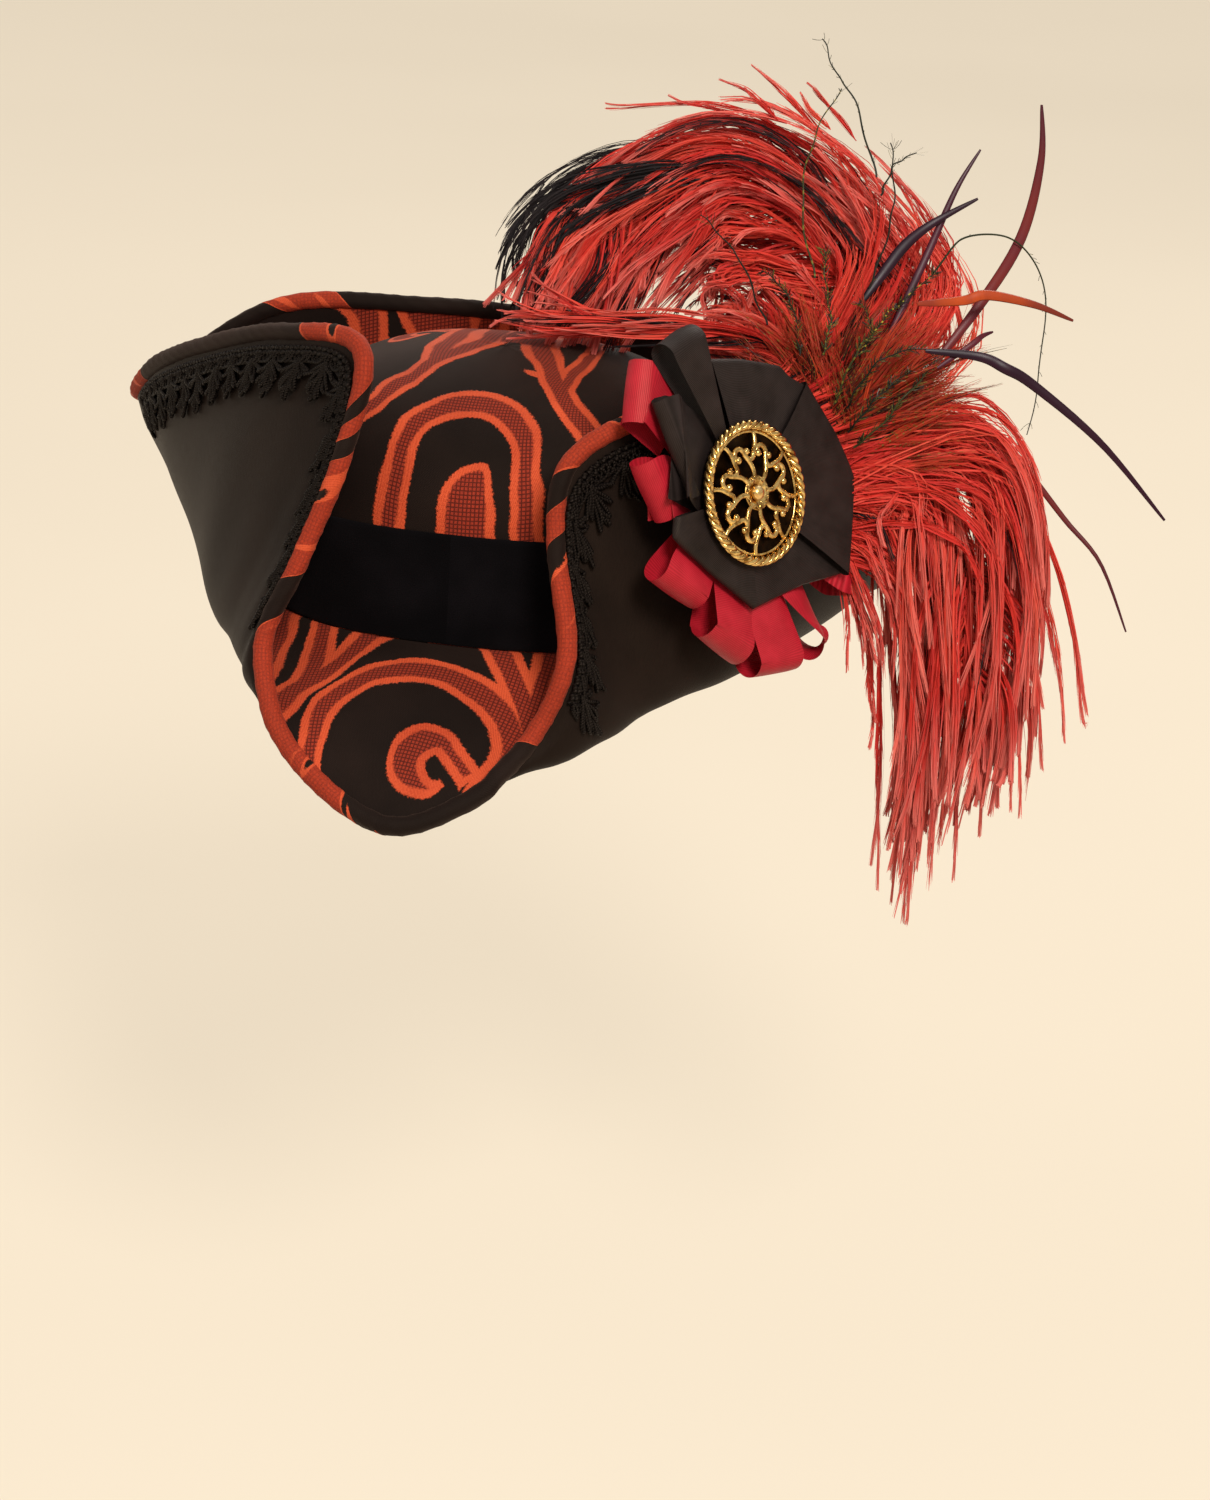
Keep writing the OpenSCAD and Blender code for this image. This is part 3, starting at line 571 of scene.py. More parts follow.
def brocade_distance(x, y):
    """Distance from the pattern: ogee bands with a small arch or an arch over a curl in each."""
    def swing(y):
        return ((y - OGEE_WIDEST) * (math.pi / OGEE_RISE)).cosine()

    column = (x / OGEE_STEP).floor()
    sign = -(column.wrap(2.0, 0.0) * 2.0) + 1.0
    distance = abs(x - column * OGEE_STEP - OGEE_MID - sign * swing(y) * OGEE_SWING) * 0.88 - 0.7
    for curl, radius in enumerate((PLAIN_ARCH, CURL_ARCH)):
        # the motif of one kind, wrapped about its own centre
        px = (x - curl * OGEE_STEP).wrap(OGEE_STEP, -OGEE_STEP)
        py = (y - curl * OGEE_RISE).wrap(MOTIF_TOP, MOTIF_TOP - 2 * OGEE_RISE)
        beyond = px - (swing(py) * OGEE_SWING + OGEE_MID)
        outside = (abs(px) - (swing(py) * OGEE_SWING + OGEE_MID)).most(0.0) * 6.0
        top = py.most(0.0)
        ax = px.least(0.0) + px.most(0.0) * 0.76 if curl else px
        arch = abs(hypot(ax, top) - radius) - (top / radius).least(1.0) * 1.4 + outside
        shape = curl_shape(px, py) if curl else leaf_shape(px, py)
        distance = distance.least(arch).least(shape + BAND_HALF)
        if not curl:
            spur = hypot((beyond + 6.4) * 0.55, py - 43.0 + (beyond + 6.4) * 0.3) - 2.6
            distance = distance.least(spur + BAND_HALF)
    return distance


def make_brocade():
    f = Finish("brocade", 0.66, 0.12, 0.06, SILK_SHEEN, warm=True)
    x, y = f.cloth_xy()
    warp = f.noise(f.join(x, y, 3.0), 0.06, 1.0) - 0.5
    return brocade_colours(f, brocade_distance(x + warp * 5.0, y - warp * 4.0), x, y)


def make_binding_cloth():
    f = Finish("binding_brocade", 0.62, 0.14, 0.08, SILK_SHEEN, warm=True)
    x, y = f.cloth_xy()
    slant = f.noise(f.join(x / 40.0, 0.0, 9.0), 1.0, 1.0) * 2.2 - 0.6
    along = f.noise(f.join((x + y * slant) / 17.0, y / 60.0, 2.0), rough=0.7)
    d = (along - 0.455) * -70.0 + BAND_HALF - 1.6
    # lengths cut from the black ground, and lengths that show the orange
    turn = TURN / BINDING_LENGTH
    for first, last, depth in BINDING_BLACKS:
        middle, half = (first + last) / 2, (last - first) / 2
        near = ((x + y * slant * 1.5) * turn - middle * turn).cosine()
        d = d + near.step(math.cos((half + 2.5) * turn), math.cos((half - 2.5) * turn)) * depth
    return brocade_colours(f, d, x, y, 0.25, 0.15)


def make_taffeta():
    f = Finish("taffeta", 0.5, 0.1, 0.03, (210, 190, 175), warm=True)
    x, y = f.cloth_xy()
    slub = f.noise(f.join(x * 0.35, y * 3.0, 0.0), 0.8)
    broad = f.noise(f.join(x, y, 0.0), 0.03)
    colour = f.mix((slub * 0.4 + broad * 0.7).step(0.3, 0.85), (22, 15, 12), (36, 26, 21))
    return f.wear(colour, weave(x, y, 0.45) * 0.5 + slub * 0.6, 0.09, slub * 0.2 + 0.42)


def make_velvet():
    f = Finish("velvet", 0.95, 0.05, 0.22, (120, 108, 108))
    x, y = f.cloth_xy()
    nap = f.noise(f.join(x, y, 0.0), 3.0)
    broad = f.noise(f.join(x, y, 5.0), 0.05)
    return f.wear(f.mix((nap * 0.35 + broad * 0.7).step(0.35, 0.8), (7, 6, 7), (19, 16, 18)), nap, 0.2)


def make_grosgrain(name, low, high, pitch, depth, specular=0.4, sheen=0.12):
    """Ribbon with fine ribs across it. Its cloth x runs along the ribbon."""
    f = Finish(name, 0.5, specular, sheen, high, warm=True)
    x, y = f.cloth_xy()
    rib, thread = ribs(x, pitch), ribs(y, 0.4)
    broad = f.noise(f.join(x, y, 0.0), 0.12)
    colour = f.mix((rib * 0.35 + broad * 0.7 + thread * 0.08).step(0.15, 0.95), low, high)
    return f.wear(colour, rib * 0.8 + thread * 0.15, depth, rib * -0.12 + 0.56)


def make_cord(name, low, high, pitch):
    """Twisted cord. Its cloth x runs along it and y goes once round from 0 to 1."""
    f = Finish(name, 0.5, 0.16, 0.06, high, warm=True)
    x, y = f.cloth_xy()
    twist = (x * (TURN / pitch) + y * TURN).sine() * 0.5 + 0.5
    grain = f.noise(f.join(x, y * 6.0, 0.0), 1.2)
    return f.wear(f.mix((twist * 0.5 + grain * 0.5).step(0.2, 0.8), low, high), twist, 0.25)


def make_gold(name, low, high, roughness):
    f = Finish(name, roughness, 0.5, metallic=1.0)
    cell = f.join(*(p * 1000.0 for p in f.object_xyz()))
    tarnish, fine = f.noise(cell, 0.35, 3.0), f.noise(cell, 2.6)
    colour = f.mix((tarnish * 0.7 + fine * 0.3).step(0.33, 0.62), low, high)
    return f.wear(colour, fine, 0.05, tarnish * 0.22 + (roughness - 0.11))


def make_strand(name, tones, tip, glint=None, roughness=0.62):
    """Feather barbs. Their cloth x runs from root (0) to tip (1) and y picks one of the tones."""
    f = Finish(name, roughness, 0.18, 0.1, tip)
    x, y = f.cloth_xy()
    row = (y * float(SHADES)).floor()
    tone = row * (1.0 / SHADES)
    streak = f.noise(f.join(x * 7.0, row * 3.7, 4.0))
    colour = (tone + (streak - 0.5) * 0.35 + (x.step(0.0, 0.35) - 1.0) * -0.10).ramp(tones)
    colour = f.mix(x.step(0.45, 1.0) * (-(tone.step(0.80, 0.88)) + 1.0) * 0.75, colour, tip)
    if glint:
        spark = (x * 90.0 + row * 5.0).sine().step(0.5, 0.95) * (row * 2.7).sine().step(0.3, 0.6)
        colour = f.mix(spark, colour, glint)
    return f.wear(colour, rough=streak * 0.2 + (roughness - 0.1))


def make_plain(name, low, high, scale, roughness, depth, metallic=0.0, specular=0.4):
    """A finish by place, for parts without cloth coordinates: wire, comb, quill, thread and pad."""
    f = Finish(name, roughness, specular, metallic=metallic)
    cell = f.join(*(p * 1000.0 for p in f.object_xyz()))
    broad, fine = f.noise(cell, scale, 3.0), f.noise(cell, scale * 9)
    colour = f.mix((broad * 0.65 + fine * 0.35).step(0.33, 0.66), low, high)
    return f.wear(colour, fine, depth, broad * 0.2 + (roughness - 0.1))


def make_buckram():
    f = Finish("buckram", 0.85, 0.2)
    x, y, z = (wave(p, 0.002) for p in f.object_xyz())
    grid = (x * y).most(z * x)
    return f.wear(f.mix(grid.step(-0.2, 0.6), (168, 158, 138), (214, 206, 188)), grid, 0.3)


# ---- crown --------------------------------------------------------------------------------------

CROWN_LENGTH = float(run_length(crown_point(0.0, np.linspace(-1, 1, 400)))[-1])
CROWN_REACH = 0.5 * (CROWN_W + CROWN_D)
SUMMIT = 0.9999  # just short of the top, where the rows would meet in one point
CROWN_PATTERN = np.array([-1.4, -58.5])


def crown_cloth_uv(bearing, below, back):
    """Cloth coordinates at a bearing and a distance below the summit, for the front or back half."""
    b = np.radians(bearing)
    top = np.stack([below * np.sin(b), CROWN_LENGTH - below * np.cos(b)], -1)
    turned = np.where(back, np.sign(b) * math.pi - b, b)
    side = np.stack([CROWN_REACH * turned, CROWN_LENGTH + np.where(back, below, -below)], -1)
    share = ease(below, 20, 80)[..., None]
    return top * (1 - share) + side * share + CROWN_PATTERN


def make_crown_cover():
    columns, low_rows, high_rows = 192, 12, 52
    bearings = np.linspace(-180, 180, columns + 1)
    s = np.concatenate([np.linspace(-1, 0, low_rows, endpoint=False), np.linspace(0, 1, high_rows)])
    s[-1] = SUMMIT
    b, ss = lattice(bearings, s)
    points = crown_point(b, ss)
    below = CROWN_LENGTH - run_length(points, 1)
    below -= below[:, -1:]
    soft = wobble(b * 1.2 / 10, below / 10, 3, 6.0) * 0.18 * ease(ss, -0.3, 0.2)
    points = points - unit(points * np.array([1, 1, 0.6])) * (0.10 - soft[..., None] * 0.5)
    faces, ci, cj = grid_quads(columns + 1, len(s))
    back = np.abs(bearings[ci].mean(1)) > 90
    uv = crown_cloth_uv(b[ci, cj], below[ci, cj], back[:, None])
    made = link_mesh("crown_brocade", points, faces, uv, BROCADE_CLOTH)
    dress(made, "brocade", "crown_cover")


def make_lining():
    """Taffeta, eased into the crown with shallow tucks."""
    tucks, deepest = 24, 0.9
    s = np.concatenate([np.linspace(-1, 0, 8, endpoint=False), np.linspace(0, SUMMIT, 30)])
    b, ss = lattice(np.linspace(0, 360, 145), s)
    points = crown_point(b, ss, LINING_INSET + 0.35, BRIM_UNDER)
    tuck = (np.cos(np.radians(b) * tucks) ** 6) * ease(ss, -0.2, 0.3) * (1 - ease(ss, 0.75, 0.95)) * deepest
    points = points * (1 - (0.25 + tuck)[..., None] / 70)
    below = run_length(points[:, ::-1], 1)[:, ::-1]
    uv = np.stack([np.radians(b) * CROWN_REACH, below], -1)
    made = grid_mesh("lining_cloth", points[:-1], uv, LINING_CLOTH, wrap_n=True, flip=True)
    dress(made, "lining", "crown_lining")


def make_hoop(name, finish, profile, steps, foot, top, outward, inside=False):
    """A band round the crown's plan. Its profile is (thickness, height), stretched from foot to top.

    outward gives how far outside the plan a place is, from its bearing, thickness and height.
    """
    profile = np.array(profile, float)
    profile[:, 1] *= (top - foot) / profile[-1, 1]
    thick, high = smooth_path(profile, steps).T
    bearing, thick = lattice(np.linspace(0, 360, 241), thick)
    high = np.broadcast_to(high, bearing.shape)
    xy = plan(bearing)
    points = lifted(xy + unit(xy) * outward(bearing, thick, high)[..., None], foot + high)
    uv = np.stack([np.radians(bearing) * CROWN_REACH, high], -1)
    return grid_mesh(name, points[:-1], uv, finish, wrap_n=True, flip=inside)


def make_velvet_band():
    """Velvet, gathered a little where it follows the crown."""
    def rippled(bearing, thick, high):
        return thick + wobble(bearing / 9, high / 18, 12, 3.0) * 0.16 * np.clip(thick, 0, 1)

    profile = [(0.15, 0.0), (0.75, 0.25), (1.08, 0.9), (1.2, 2.2), (1.16, 9), (1.05, 17.5), (1.16, 26),
               (1.2, 32.8), (1.08, 34.1), (0.75, 34.75), (0.15, 35.0)]
    made = make_hoop("velvet_band", VELVET, profile, 41, BAND_FOOT, BAND_TOP, rippled)
    dress(made, "velvet", "hatband")


def make_sweatband():
    """Ribbed ribbon, with a row of stitches along its lower edge."""
    stitches, stitch_high = 130, 2.4

    def stitched(bearing, thick, high):
        stitch = np.cos(np.radians(bearing) * stitches) > 0.2
        stitch = stitch * np.exp(-(((high - stitch_high) / 0.35) ** 2)) * 0.18
        soft = wobble(bearing / 12, high / 14, 5, 3.0) * 0.1
        return stitch - SWEAT_INSET - thick - np.where(thick > 0.3, soft, 0)

    profile = [(0.0, 0.0), (0.45, 0.35), (0.6, 1.2), (0.58, 12), (0.6, 24.6), (0.45, 25.7), (0.0, 26.1)]
    made = make_hoop("sweatband_ribbon", SWEAT_RIBBON, profile, 31, BRIM_UNDER, SWEAT_TOP, stitched,
                     inside=True)
    dress(made, "black_grosgrain", "sweatband")


# ---- brim ---------------------------------------------------------------------------------------

GRID_PER_ROW = 4


def brim_grid(lift, soft, inner=0.0):
    """Points of one layer of the brim, and where each would lie if the cloth were laid flat."""
    row = np.linspace(0, ROWS, ROWS * GRID_PER_ROW + 1)
    rr, tt = lattice(row, np.linspace(0, 1, 44) ** 0.9)
    bearing, fold, _ = brim_line(row)
    ring = lifted(plan(bearing, inner), np.array(float(lift)))
    points = np.concatenate([ring[:, None], brim_at(rr, tt, lift + soft(rr, tt))], 1)
    heading = unit(fold[:, :2] - ring[:, :2])
    return points, ring[:, None, :2] + heading[:, None] * run_length(points, 1)[..., None]


def make_brim_cover():
    """Brocade, cut flat at the front and pieced along the rear corners, where it turns up sharply."""
    pieced_rows, fold_column = 13, 28

    def eased(r, t):
        return wobble(r / 1.2, t * 7, 21, 5.0) * 0.12 * ease(t, 0.1, 0.4) - 0.12

    points, flat = brim_grid(BROCADE, eased, inner=-0.05)
    around = np.broadcast_to(run_length(points[:, fold_column])[:, None], points.shape[:2])
    pieced = np.stack([around, run_length(points, 1)], -1)
    faces, ci, cj = grid_quads(*points.shape[:2])
    rear = np.abs(ci.mean(1) / GRID_PER_ROW - ROWS / 2) < pieced_rows
    uv = np.where(rear[:, None, None], pieced[ci, cj], flat[ci, cj])
    uv = uv + np.array([4.0 + OGEE_STEP, 113.0 + OGEE_RISE])
    points = points[:-1]
    made = link_mesh("brim_brocade", points, faces % points[..., 0].size, uv, BROCADE_CLOTH)
    dress(made, "brocade", "brim_top_cover")


def make_brim_buckram():
    """The stiff layer between the two covers, with both of its faces."""
    def stiff(r, t):
        return 0

    top, flat = brim_grid(-0.15, stiff)
    bottom, _ = brim_grid(0.15 - BUCKRAM, stiff)
    both = np.concatenate([top, bottom[:, ::-1]], 1)
    uv = np.concatenate([flat, flat[:, ::-1], flat[:, :1]], 1)
    made = grid_mesh("brim_buckram", both[:-1], uv, BUCKRAM_FINISH, wrap_n=True, wrap_m=True)
    dress(made, "buckram", "brim_base")


def make_brim_taffeta():
    """Taffeta eased over the fold, so that soft drags run from the corners and the fold."""
    def dragged(r, t):
        swell = wobble(r / 2.6, t * 2.2, 33, 2.4) * 0.45 + wobble(r / 0.9, t * 3.2, 34, 4.0) * 0.22
        drag = wobble(r / 1.5 + t * 2.5, t * 0.8, 35, 3.0) * 0.25
        return 0.25 - np.clip(swell + drag + 0.55, 0, 1.25) * ease(t, 0.02, 0.2) * (1 - ease(t, 0.85, 0.97))

    points, flat = brim_grid(UNDER_FACE, dragged, inner=SWEAT_INSET)
    made = grid_mesh("brim_taffeta", points[:-1], flat, TAFFETA_CLOTH, wrap_n=True, flip=True)
    dress(made, "taffeta", "brim_under_cover")


def make_binding():
    """A padded roll of the brocade that binds the edge, with slanting creases."""
    creases, opening = 150, 0.94
    row = np.linspace(0, ROWS, ROWS * 14 + 1)
    edge = brim_point(row, 1.0)
    ahead = unit(brim_point(row + 0.3, 1.0) - brim_point(row - 0.3, 1.0))
    up = brim_normal(row, 1.0)
    out = unit(np.cross(ahead, up))
    inward = brim_point(row, 0.97) - edge
    out = np.where((out * inward).sum(-1, keepdims=True) > 0, -out, out)
    centre = edge + out * 0.6 - up * 0.75
    along = run_length(centre)
    length = along[-1]
    a, c = lattice(along, np.linspace(-opening, opening, 22) * math.pi)
    crease = np.cos((a / length * creases + c * 0.55) * TURN + wobble(a / 9, c, 41, 4.0) * 2.2)
    ruck = np.clip(crease, 0.2, 1) - 0.55
    lump = wobble(a / 14, c * 1.1, 42, 3.2)
    radius = BINDING_R - 0.28 + ruck * 0.22 + lump * 0.16
    points = centre[:, None] + out[:, None] * (np.cos(c) * radius)[..., None]
    points = points + up[:, None] * (np.sin(c) * radius)[..., None]
    uv = np.stack([a, c * BINDING_R], -1)
    made = grid_mesh("binding_roll", points[:-1], uv, BINDING_CLOTH, wrap_n=True)
    dress(made, "brocade", "brim_binding")


def from_edge(row, distance):
    """How far out across the brim, 0 to 1, a distance in from the edge is."""
    edge = brim_point(row, 1.0)
    t = np.full(np.shape(row), 0.9)
    for _ in range(6):
        reach = np.linalg.norm(edge - brim_point(row, t), axis=-1)
        t = 1 - (1 - t) * distance / np.maximum(reach, 1e-6)
    return t


# The braid's distance in from the edge and the length of its repeat, with the beats of its cords
GIMP_IN, GIMP_REPEAT = 4.3, 13.0
CORD_BEATS, SCROLL_BEATS, SCROLL_STEPS = 5, 3, 72
# How far along the braid a cluster's fronds lean, and how far in from its edge they reach
FRONDS = ((-6.0, 9.4), (-4.2, 13.4), (-1.8, 15.8), (0.4, 18.0), (2.6, 15.6), (4.8, 12.4), (6.2, 8.6))


def make_gimp(name, first, last):
    """Braid sewn beside the binding: two laid cords and a scroll, with clusters of looped fronds."""
    row = np.linspace(first, last, 500)
    s_at = run_length(brim_at(row, from_edge(row, GIMP_IN + 2), np.full(row.shape, UNDER_FACE)))
    total = s_at[-1]
    clumps = max(3, round(total / GIMP_REPEAT))
    pitch = total / clumps

    def place(s, w, h):
        """A place s along the braid, w across it and h off the taffeta."""
        r = np.interp(s, s_at, row)
        return brim_at(r, from_edge(r, GIMP_IN + w), UNDER_FACE - 0.3 - h)

    pile = Pile()
    s = np.linspace(1.0, total - 1.0, int(total * 2.2))
    for w, phase, swing in ((0.7, 0.0, 0.21), (2.3, 0.5, 0.24)):
        beat = (s / pitch * CORD_BEATS + phase) * TURN
        pile.tube(place(s, w + np.cos(beat) * swing, 0.6 + np.sin(beat) * 0.3), 0.8, 7)
    scroll = np.linspace(0, 1, SCROLL_STEPS * clumps)
    for shift in (0.0, 0.5):  # a scroll of two cords that loops over the laid ones
        turn = (scroll * clumps * SCROLL_BEATS + shift) * TURN
        s = np.clip(scroll * total + np.sin(turn) * 1.7, 0.8, total - 0.8)
        pile.tube(place(s, 3.7 + np.cos(turn) * 1.8, 0.9 + 0.5 * np.sin(turn * 0.5 + shift)), 0.5, 6)
    r = np.random.default_rng(len(name))
    q = np.linspace(0, 1, 21)
    rise = np.sin(q * math.pi)
    for clump in range(clumps):
        middle = (clump + 0.5) * pitch + r.uniform(-0.8, 0.8)
        for lean, reach in FRONDS:
            lean, reach, wide = lean + r.uniform(-0.8, 0.8), reach + r.uniform(-1.6, 1.0), r.uniform(0.7, 1.3)
            loop = np.sin(q * TURN) * wide * rise**0.5
            kink = np.sin(q * math.pi * 3 + r.uniform(0, 3)) * 0.5
            s = np.clip(middle + lean * rise**1.2 + loop + kink * rise, 0.6, total - 0.6)
            high = 0.4 + 0.8 * np.sin(q * TURN + r.uniform(0, 3)) ** 2 + r.uniform(0, 0.5) * rise
            pile.tube(place(s, 4.2 + (reach - 4.2) * rise**0.8, high), 0.6, 6)
    dress(pile.object(name + "_braid", GIMP_CORD), "gimp", name)


# ---- cockade ------------------------------------------------------------------------------------

COCKADE_TURN, COCKADE_LEAN = math.radians(57.8), math.radians(17.5)
COCKADE = brim_point(18.3, 0.88)
C_RIGHT = np.array([math.cos(COCKADE_TURN), math.sin(COCKADE_TURN), 0])
C_FACE = np.array([*math.cos(COCKADE_LEAN) * np.array([C_RIGHT[1], -C_RIGHT[0]]), math.sin(COCKADE_LEAN)])
C_UP = np.cross(C_FACE, C_RIGHT)


def cockade(p):
    """Place in the hat's frame of points (..., 3) in the cockade's own frame."""
    p = np.asarray(p, float)
    return COCKADE + p[..., :1] * C_RIGHT + p[..., 1:2] * C_UP + p[..., 2:3] * C_FACE


def turned(bearing):
    """The way a bearing in the cockade's plane points, and the way to its left."""
    b = math.radians(bearing)
    return np.array([math.cos(b), math.sin(b), 0]), np.array([-math.sin(b), math.cos(b), 0])


def ribbon_loop(name, node, material, slot, centre, bearing, radius, high, width, tip=0.0, root=0.42,
                root_high=(0.5, -0.5), pinch=0.85, seed=0):
    """A ribbon that runs out from under the button, turns over at its outer end and comes back.

    centre is the middle of the turn in the cockade's plane, bearing the way the turn faces, high its
    height, tip how far its width leans out of the plane, and root_high the heights at the caught ends.
    """
    out, side = turned(bearing)
    upward = np.array([0, 0, 1.0])
    caught = np.array([centre[0] * root, centre[1] * root, high])
    q = np.linspace(0, 1, 65)
    angle = math.pi / 2 - ease(q, 0.26, 0.74) * math.pi
    turn = out * np.cos(angle)[:, None] + upward * np.sin(angle)[:, None]
    turn = np.array([*centre, high]) + radius * turn
    ends = caught + upward * radius * np.where(q < 0.5, *root_high)[:, None]
    share = ease(np.minimum(q, 1 - q), 0.0, 0.34)[:, None]
    path = ends * (1 - share) + turn * share
    lean = math.radians(tip)
    across = side * math.cos(lean) + upward * math.sin(lean)
    towards = unit(np.array([-centre[1], centre[0], 0]))
    towards = towards * np.sign(towards @ side)
    across = unit(towards * (1 - share) + across * share)
    travel = unit(np.gradient(path, axis=0))
    across = unit(across - (across * travel).sum(-1, keepdims=True) * travel)
    w = np.linspace(-0.5, 0.5, 15)
    breadth = w * width * (pinch + (1 - pinch) * share)
    buckle = wobble(q[:, None] * 3 + seed, w[None, :] * 1.6, 60 + seed, 2.5) * 0.22
    cup = (0.25 - w**2)[None, :] * 1.4 * np.sin(np.pi * q)[:, None]
    face = np.cross(travel, across)
    points = path[:, None] + across[:, None] * breadth[..., None] + face[:, None] * (buckle + cup)[..., None]
    along = run_length(path)
    uv = np.stack(np.broadcast_arrays(along[:, None], breadth), -1)
    made = grid_mesh(name, cockade(points), uv, material)
    dress(made, slot, node)


RED_HIGH = 8.2  # height of the red loops' turns in the cockade's frame
# Turn's middle, the bearing it faces, its radius and lean, the ribbon's width, and how far in it is caught
RED_LOOPS = [
    ((-29.5, 35.0), 156, 4.8, 0, 19, 0.6), ((-29.8, 7.6), 199, 4.6, 0, 19, 0.6),
    ((-27.3, -20.5), 233, 4.8, 0, 19, 0.6), ((-12.0, -39.6), 234, 5.6, -6, 19, 0.6),
    ((6.8, -50.3), 266, 5.3, 0, 19.5, 0.5), ((26.4, -46.5), 277, 5.4, -43, 15, 0.45),
    ((44.0, -31.0), 345, 4.4, 0, 15.2, 0.5), ((48.0, -18.0), 341, 4.4, 0, 15.2, 0.6),
]
RIBBED_FROM = 7  # the loops from here on are of a coarser ribbon
# Outer edges of the flat-folded black panels, and the height of their faces
BLACK_PANELS = {
    "top": ([(-5.5, 41.6), (9, 39.4), (25, 35), (29.2, 31.0), (34.2, 28.0)], 15.8),
    "right": ([(34.6, 28.6), (44.3, 11.5), (49.2, -3.2), (45.0, -17), (39.0, -32.2)], 17.3),
    "bottom": ([(38.4, -31.6), (20, -31.6), (-3, -34.2)], 14.9),
    "left": ([(-4.4, -34.0), (-19.5, -20.5), (-32.6, -7.6), (-31.0, -1.6)], 16.2),
}


def make_pad():
    """Felt pad that the loops are sewn to, a round a little below the button's middle."""
    profile = [(0.05, 7.4), (6, 7.4), (12, 7.2), (14.2, 6.7), (15, 5.6), (14.6, 4.2), (13.4, 3.5),
               (0.05, 3.4)]
    r, z = smooth_path(profile, 41).T
    a, rr = lattice(np.linspace(0, TURN, 73), r)
    uv = circle(a) * rr[..., None]
    z = z + wobble(uv[..., 0] / 6, uv[..., 1] / 6, 8, 2.0) * 0.12
    made = grid_mesh("pad_felt", cockade(lifted(uv - [0, 6], z))[:-1], uv, FELT, wrap_n=True)
    dress(made, "black_grosgrain", "cockade_pad")


def make_loops():
    """Eight red loops round the pad, and two black ones over them."""
    for number, (centre, bearing, radius, tip, width, root) in enumerate(RED_LOOPS, 1):
        ribbon = RED_RIBBED if number >= RIBBED_FROM else RED_RIBBON
        ribbon_loop(f"red_ribbon_{number}", f"red_loop_{number}", ribbon, "red_grosgrain", centre, bearing,
                    radius, RED_HIGH, width, tip, root, seed=number - 1)
    ribbon_loop("black_bow_top", "black_loop_top", BLACK_RIBBON, "black_grosgrain", (-20.3, 46.4), 104,
                4.6, 17.6, 15, root=0.36, root_high=(-0.1, -0.9), pinch=0.3, seed=11)
    ribbon_loop("black_bow_side", "black_loop_side", BLACK_RIBBON, "black_grosgrain", (-27.4, 18.6), 197,
                2.5, 17.3, 31, root=0.4, root_high=(-1.6, -1.8), pinch=0.8, seed=12)


def make_panel(name, corners, top, order):
    """Wide ribbon folded over nearly flat, with pointed outer corners."""
    n, roll, folds, folded = 41, 1.5, 0.5, 0.66
    at = np.linspace(0, len(corners) - 1, n)
    straight = np.stack([np.interp(at, np.arange(len(corners)), c) for c in np.array(corners).T], -1)
    outer = spline(corners, at) * 0.35 + straight * 0.65
    q = np.linspace(0, 1, 37)
    turn = np.clip((q - folds) / (folded - folds), 0, 1) * math.pi
    back = 1 - np.clip((q - folded) / (1 - folded), 0, 1) * 0.6
    share = np.minimum(q / folds, back)
    inner = unit(outer)[:, None] * 9.0
    xy = inner + (outer[:, None] - inner) * share[None, :, None]
    xy = xy + unit(outer)[:, None] * ((np.sin(turn) - 1) * roll)[None, :, None]
    u = np.linspace(0, 1, n)
    swell = 0.5 * np.sin(np.pi * share) * (q < folds)
    z = top + (np.cos(turn) - 1) * roll + swell * (0.6 + 0.4 * np.cos(u * TURN))[:, None]
    z = z + wobble(u[:, None] * 2.2, share[None, :] * 1.2, 70 + order, 1.6) * 0.38 * share
    points = cockade(lifted(xy, z))
    along, step = run_length(points, 1), run_length(outer)
    uv = np.stack(np.broadcast_arrays(along, step[:, None]), -1)
    made = grid_mesh(f"black_ribbon_{name}", points, uv, BLACK_RIBBON)
    dress(made, "black_grosgrain", f"black_panel_{name}")


# ---- button -------------------------------------------------------------------------------------


def revolve(name, profile, material, slot, node, steps=128, dent=None):
    """A turned form from (radius, height) points in the cockade's frame."""
    profile = np.array(profile, float)
    a, r = lattice(np.linspace(0, TURN, steps + 1), profile[:, 0])
    if dent is not None:
        r = r + dent(a, r)
    points = cockade(lifted(circle(a) * r[..., None], np.broadcast_to(profile[:, 1], a.shape)))
    uv = np.stack(np.broadcast_arrays(a * 20, run_length(profile)), -1)
    dress(grid_mesh(name, points[:-1], uv, material, wrap_n=True), slot, node)


def domed(xy, lift=0.0):
    """Place on the button's low dome, or so far above it."""
    foot, rise, edge = 18.75, 1.35, 19
    r = np.linalg.norm(xy, axis=-1)
    return cockade(lifted(xy, foot + lift + rise * (1 - (r / edge) ** 2)))


def add_ball(pile, xy, size, lift=0.1):
    """A bead that rests on the dome."""
    q = np.linspace(0.02, 0.98, 11) * math.pi
    path = domed(np.asarray(xy), lift) + C_FACE * (-np.cos(q) * size)[:, None]
    pile.tube(path, np.sin(q) * size, 14, C_RIGHT)


